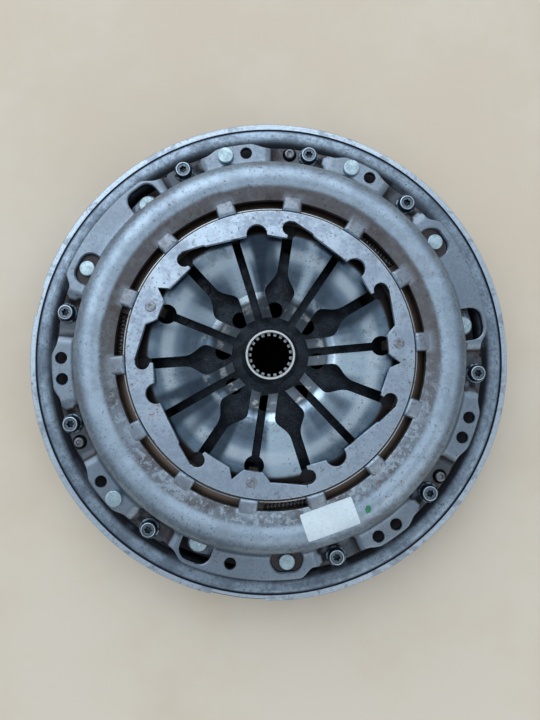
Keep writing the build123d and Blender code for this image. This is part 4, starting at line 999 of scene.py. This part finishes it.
bolt_outline = [
    (0, BOLT_FOOT), (BOLT_SHANK_R - 0.5, BOLT_FOOT), (BOLT_SHANK_R, BOLT_FOOT + 0.5),
    (BOLT_SHANK_R, SEAT_TOP), (5.7, SEAT_TOP),
]
bolt_outline += arc((BOLT_FLANGE_R - 0.5, SEAT_TOP + 0.6), 0.5, 270, 430, 5)
bolt_outline += [(5.0, SEAT_TOP + 1.45), (4.7, SEAT_TOP + 1.9)]
bolt_outline += arc((BOLT_HEAD_R - 0.5, BOLT_TOP - 0.5), 0.5, 0, 90, 3)
bolt_outline += [(3.7, BOLT_TOP), (3.35, BOLT_TOP - 0.5), (0, BOLT_TOP - 0.7)]
bolt = spin(bolt_outline, 48, False)
socket_floor = BOLT_TOP - SOCKET_DEPTH
socket = spin([(0, socket_floor), (SOCKET_R[0], socket_floor), (SOCKET_R[1], BOLT_TOP + 1),
               (0, BOLT_TOP + 1)], 72, False)
bolt = combine(bolt, lobed(socket, SOCKET_LOBES), "DIFFERENCE")
dice = random.Random(5)
bolt_places = [
    (radius, angle, dice.uniform(0, 60)) for radius, angle, _ in thirds(BOLT_R, *BOLT_ANGLES)
]


def bolt_marks(place):
    """Bare, shiny rims where a wrench and dirt have rubbed the black off."""
    height = height_of(place)
    rim = step(height, BOLT_TOP - 0.35, BOLT_TOP - 0.05)
    skirt = between(height - SEAT_TOP, 0.3, 0.6, 1.2, 1.6)
    patchy = step(clouds(place, 3, 3), 0.42, 0.56)
    dish = between(height - BOLT_TOP, -1.0, -0.72, -0.5, -0.4)
    return (
        (rim * 0.85, shown(176, 196, 212), 0.28),
        (dish * 0.8, shown(98, 112, 124), 0.34),
        (skirt * patchy * 0.7, shown(120, 138, 154), 0.35),
    )


piece(
    "cover_screws", repeat(bolt, bolt_places), "secondary", "bolt_steel",
    metal("black_phosphate", shown(26, 33, 40), shown(52, 64, 74), 3, (0.36, 0.5), 0.85,
          rust=0.1, marks=bolt_marks),
    "cover_bolts", crease=40,
)

dowel = spin([(0, 45.1), (2.6, 45.1), (3.0, 45.6), (3.0, 54.6)]
             + arc((2.3, 54.6), 0.7, 0, 90, 3) + [(1.6, 55.3), (1.3, 54.7), (0, 54.6)], 40, False)
piece(
    "dowels", repeat(dowel, thirds(BOLT_R, DOWEL_ANGLE)), "secondary", "pin_steel",
    metal("dull_pin", shown(74, 78, 84), shown(126, 134, 142), 3, (0.38, 0.5), rust=0.5),
    "dowel_pins", crease=40,
)

RIVET_H = 2.2
RIVET_ROUND = 0.7
TAIL_H = 2
LEAF_SHANK_R = 2.7


def rivet(shank_r, head_r, tail_r, foot, under, top, dimple=0.0):
    """A rivet: its tail stands on foot, and its head from under to top, perhaps with a dimple."""
    outline = [(0, foot), (tail_r, foot), (tail_r, foot + TAIL_H)]
    outline += [(shank_r, foot + TAIL_H), (shank_r, under), (head_r - 0.2, under)]
    outline += arc((head_r - RIVET_ROUND, top - RIVET_ROUND), RIVET_ROUND, 0, 90, 3)
    if dimple:
        outline += [(dimple * 1.3, top + 0.05), (dimple, top - 0.25), (0, top - 0.35)]
    else:
        outline += [(0, top + 0.12)]
    return spin(outline, 40, False)


zinc = metal("bright_zinc", shown(138, 160, 172), shown(168, 192, 202), 4, (0.36, 0.5), 0.9,
             specks=0.35, rust=0.05)
for name, made, places, body, node in (
    ("balance_weights",
     rivet(3.3, 4.9, 4.6, LAND_TOP - SHEET - TAIL_H, LAND_TOP, LAND_TOP + RIVET_H),
     [(BALANCE_R, angle, 0) for angle in WEIGHT_ANGLES], "secondary", "balance_rivets"),
    ("leaf_rivets",
     rivet(LEAF_SHANK_R, 4.7, LEAF_SHANK_R, 49.75, POCKET_FLOOR, POCKET_FLOOR + RIVET_H),
     thirds(*LEAF_COVER_END), "secondary", "strap_cover_rivets"),
    ("plate_rivets", rivet(LEAF_SHANK_R, 5.5, 4.4, 43.35, 51.55, 53.7, dimple=1.3),
     thirds(*LEAF_PLATE_END), "pressure_plate", "strap_plate_rivets"),
):
    piece(name, repeat(made, places), body, "rivet_steel", zinc, node, crease=40)

# -------- support ring and hooks
# A blanked steel ring on top of the inner flange, with a keyhole or a scallop over every
# finger slot and three lugs. A rivet in each lug holds a bent hook that carries the sensor
# spring; the ring's sheared edges shine and its corners rust.
def ring_marks(place):
    """Bright where it was wiped, brown where it wasn't, and shining along the sheared edge."""
    height = height_of(place)
    radius = radius_of(place)
    return (
        (step(clouds(place, 30, 3), 0.48, 0.64) * 0.4, shown(176, 194, 210), 0.32),
        (step(clouds(place, 13, 5, 0.7), 0.56, 0.64) * 0.4, shown(112, 116, 124), 0.46),
        (step(radius, 81.0, 81.6) * 0.6, shown(186, 206, 220), 0.3),
        (between(height, 73.3, 74.0, 75.0, 75.6) * 0.7, shown(176, 190, 200), 0.3),
    )


piece(
    "blanked_ring", softened("support_ring", 0.35, 3), "secondary", "ring_steel",
    metal("blanked_steel", shown(136, 152, 170), shown(162, 180, 198), 15, (0.3, 0.46), 0.9,
          specks=0.6, rust=0.85, marks=ring_marks, dents=0.3),
    "support_ring", crease=40,
)
LUG_ANGLES = (4.5, 158.786, 261.643)
LUG_R = 72.8


def lug_rivet_marks(place):
    """A dark ring of old oil round a flush rivet."""
    return ((step(height_of(place), 76.15, 75.9) * 0.8, shown(46, 42, 42), 0.5),)


lug_rivets = repeat(rivet(1.85, 3.2, 2.9, 70.95, 76.1, 76.55, dimple=0.9),
                    [(LUG_R, angle, 0) for angle in LUG_ANGLES])
piece(
    "lug_rivets", lug_rivets, "secondary", "ring_steel",
    metal("lug_rivet", shown(104, 108, 116), shown(146, 156, 166), 2,
          rust=0.8, marks=lug_rivet_marks),
    "ring_rivets", crease=40,
)
piece(
    "hooks", softened("spring_hooks", 0.4, 3), "secondary", "cover_steel",
    # rusty brown, and made darker as painted shade down under the ring
    metal("shaded_brown_hooks", shown(46, 40, 38), shown(84, 74, 68), 4, (0.42, 0.55), 0.7, rust=0.8),
    "spring_hooks", crease=40,
)

# -------- wear adjuster
# A ring of ramps under the inner flange, brown with old oil, that three small coil springs turn
# as the disc wears. Each runs from a stop under a rib to an ear of the ring, and shortens when
# the ring is turned back.
dress(
    metal("oiled_ring", shown(62, 56, 52), shown(104, 98, 92), 8, (0.4, 0.55), 0.7),
    "adjuster_ring",
)
COIL_R = 1.65  # to the middle of the wire
COIL_WIRE_R = 0.35
COIL_LENGTH = 29.0
COIL_TURNS = 13
COIL_STEPS = 14  # round each turn
COIL_PLACE_R = 86.5
COIL_SPAN = 20.0  # degrees, from the stop under a rib to the ring's ear
COIL_RIBS = (2, 7, 11)

coil_points = [vertex.co.z / MM for vertex in nodes["adjuster_springs"].data.vertices]
coil_z = (min(coil_points) + max(coil_points)) / 2
coil = bmesh.new()
bmesh.ops.create_circle(coil, cap_ends=False, segments=8, radius=COIL_WIRE_R * MM)
bmesh.ops.translate(coil, vec=(COIL_R * MM, 0, 0), verts=coil.verts[:])
quarter = Matrix.Rotation(math.radians(90), 3, "X")
bmesh.ops.rotate(coil, cent=(0, 0, 0), matrix=quarter, verts=coil.verts[:])
bmesh.ops.spin(coil, geom=coil.verts[:] + coil.edges[:], cent=(0, 0, 0), axis=(0, 0, 1),
               dvec=(0, 0, COIL_LENGTH * MM / (COIL_TURNS * COIL_STEPS)),
               angle=math.tau * COIL_TURNS, steps=COIL_TURNS * COIL_STEPS)
bmesh.ops.holes_fill(coil, edges=[edge for edge in coil.edges if edge.is_boundary], sides=8)
bmesh.ops.translate(coil, vec=(0, 0, -COIL_LENGTH / 2 * MM), verts=coil.verts[:])
bmesh.ops.rotate(coil, cent=(0, 0, 0), matrix=quarter, verts=coil.verts[:])
bmesh.ops.translate(coil, vec=(0, 0, coil_z * MM), verts=coil.verts[:])
bmesh.ops.recalc_face_normals(coil, faces=coil.faces[:])
stops = [rib_angles[rib] for rib in COIL_RIBS]
coils = repeat(coil, [(COIL_PLACE_R, stop - COIL_SPAN / 2, 0) for stop in stops])


def coil_weight(point):
    """How far along its spring a point is, from the stop to the ring's ear."""
    angle = math.degrees(math.atan2(point.y, point.x))
    return min(max(min((stop - angle) % 360 for stop in stops) / COIL_SPAN, 0), 1)


small_coils = piece(
    "adjuster_coils", coils, None, None,
    metal("small_coils", shown(70, 74, 80), shown(120, 126, 132), 4), "adjuster_springs",
)
bend(small_coils, "secondary", "adjuster", coil_weight)

# -------- label and paint mark
# A plain paper label without a word on it, stuck on the bead's inner slope, and the dab of
# green paint that an inspector left beside it. Both follow the pressed steel under them.
LABEL_SIZE = (30.6, 15.4)
LABEL_PLACE = (98.2, 289.6)  # radius, angle
LABEL_TURN = 19.5
BLUNT_CORNER = 0.985
STUCK_GAP = 0.02  # between the steel and what is stuck on it
PAPER_T = 0.12
DAB_PLACE = (102.3, 301.9)
DAB_R = (2.4, 1.6)
DAB_TURN = 75
PAINT_T = 0.12


def lay_down(shape, place, turn):
    """Put a flat shape on the bead at a place, turned, and let it follow the steel."""
    centre = on_circle(*place)
    spun = Matrix.Rotation(math.radians(turn), 4, "Z")
    for vertex in shape.verts:
        point = (spun @ vertex.co).to_2d() + centre
        height = bead_height(point.length / MM) + STUCK_GAP + vertex.co.z / MM
        vertex.co = (*point, height * MM)
    return shape


label = bmesh.new()
bmesh.ops.create_grid(label, x_segments=40, y_segments=20, size=0.5)
bmesh.ops.scale(label, vec=(LABEL_SIZE[0] * MM, LABEL_SIZE[1] * MM, 1), verts=label.verts[:])
for vertex in label.verts:
    if len(vertex.link_edges) == 2:
        vertex.co *= BLUNT_CORNER
pull_up(label, label.faces[:], PAPER_T, closed=True)
bmesh.ops.recalc_face_normals(label, faces=label.faces[:])


def paper_marks(place):
    """Handling grey in the middle and a little oil that has crept in from the edges."""
    return (
        (step(clouds(place, 9, 4, 0.7), 0.50, 0.66) * 0.35, shown(184, 196, 204), 0.5),
        (step(clouds(place, 4, 4), 0.58, 0.68) * 0.3, shown(160, 164, 164), 0.6),
    )


piece(
    "blank_label", lay_down(label, LABEL_PLACE, LABEL_TURN), "secondary", None,
    metal("label_paper", shown(180, 198, 208), shown(192, 209, 219), 10, (0.4, 0.55), 0.0,
          specks=0.12, rust=0.0, marks=paper_marks, dents=0.1),
)

dab = bmesh.new()
bmesh.ops.create_circle(dab, cap_ends=True, segments=24, radius=MM)
for vertex in dab.verts:
    wobble = 1 + dice.uniform(-0.16, 0.16)
    vertex.co.x *= DAB_R[0] * wobble
    vertex.co.y *= DAB_R[1] * wobble
pull_up(dab, dab.faces[:], PAINT_T, closed=True)
bmesh.ops.recalc_face_normals(dab, faces=dab.faces[:])
piece(
    "paint_dab", lay_down(dab, DAB_PLACE, DAB_TURN), "secondary", None,
    metal("green_paint", shown(20, 92, 70), shown(38, 122, 92), 2, (0.4, 0.5), 0.0,
          specks=0.3, rust=0),
)

# -------- floor, light and camera
# A plain pale floor that the clutch lies on, a room that is brighter towards its one big soft
# window, a weaker light across from that, and the camera that looks straight down. The sizes
# and places of the floor and the lights are in metres.
FLOOR_SIZE = 6.0
FLOOR_LEVEL = -0.0003
SKY = (0.86, 0.92, 1.0, 1)
DARK_LEVEL = 0.30
BRIGHT_LEVEL = 1.08
CEILING_SHARE = 0.4  # how much darker the room is straight overhead
WINDOW_SIDE = (-0.2, 0.84, 0.5)
FLOOR_TONE = shown(199, 189, 172)
FLOOR_TONE_COOL = shown(204, 197, 183)


def unlit_middle(place):
    """No light gets in under the flywheel, so the floor down its bore is dark."""
    return ((step(radius_of(place), 110, 60), shown(12, 12, 12), 0.9),)


bpy.ops.mesh.primitive_plane_add(size=FLOOR_SIZE, location=(0, 0, FLOOR_LEVEL))
floor = bpy.context.object
floor.name = "floor"
floor.data.materials.append(
    metal("pale_board", FLOOR_TONE, FLOOR_TONE_COOL, 900, (0.8, 0.9), 0.0,
          specks=0.0, rust=0.0, marks=unlit_middle, dents=0.05)
)

world = bpy.data.worlds.new("soft_room")
bpy.context.scene.world = world
world.use_nodes = True
background = world.node_tree.nodes["Background"]
background.inputs["Color"].default_value = SKY
outward = Socket(world.node_tree.nodes.new("ShaderNodeTexCoord").outputs["Generated"])
facing = {0: outward, 1: WINDOW_SIDE}
toward_window = outward.node("VectorMath", {"operation": "DOT_PRODUCT"}, facing, 1)
level = DARK_LEVEL + (BRIGHT_LEVEL - DARK_LEVEL) * step(toward_window, -0.5, 0.75)
level = level * (1 - step(along(outward, 2), 0.80, 0.98) * CEILING_SHARE)
world.node_tree.links.new(level.output, background.inputs["Strength"])


def soft_light(name, place, size, power, colour):
    """A square area light that faces the clutch."""
    lamp = bpy.data.lights.new(name, "AREA")
    lamp.size = size
    lamp.energy = power
    lamp.color = colour
    holder = bpy.data.objects.new(name, lamp)
    holder.location = place
    holder.rotation_euler = (-Vector(place)).to_track_quat("-Z", "Y").to_euler()
    bpy.context.scene.collection.objects.link(holder)


soft_light("window", (-0.5, 1.0, 1.2), 1.9, 15, (0.96, 0.98, 1.0))
soft_light("far_wall", (0.7, -1.1, 1.0), 1.6, 7, (1.0, 0.97, 0.93))

CAMERA_PLACE = (-4.5, -20.9, 379.6)
CAMERA_TILT = (3.20, -0.77, 0.0)  # degrees
CAMERA_LENS = 27.0
camera = bpy.data.objects.new("camera", bpy.data.cameras.new("camera"))
camera.data.lens = CAMERA_LENS
camera.data.sensor_width = 36.0
camera.data.clip_start = 0.01
camera.location = Vector(CAMERA_PLACE) * MM
camera.rotation_euler = [math.radians(angle) for angle in CAMERA_TILT]
bpy.context.scene.collection.objects.link(camera)
bpy.context.scene.camera = camera
bpy.context.scene.view_settings.view_transform = "Standard"
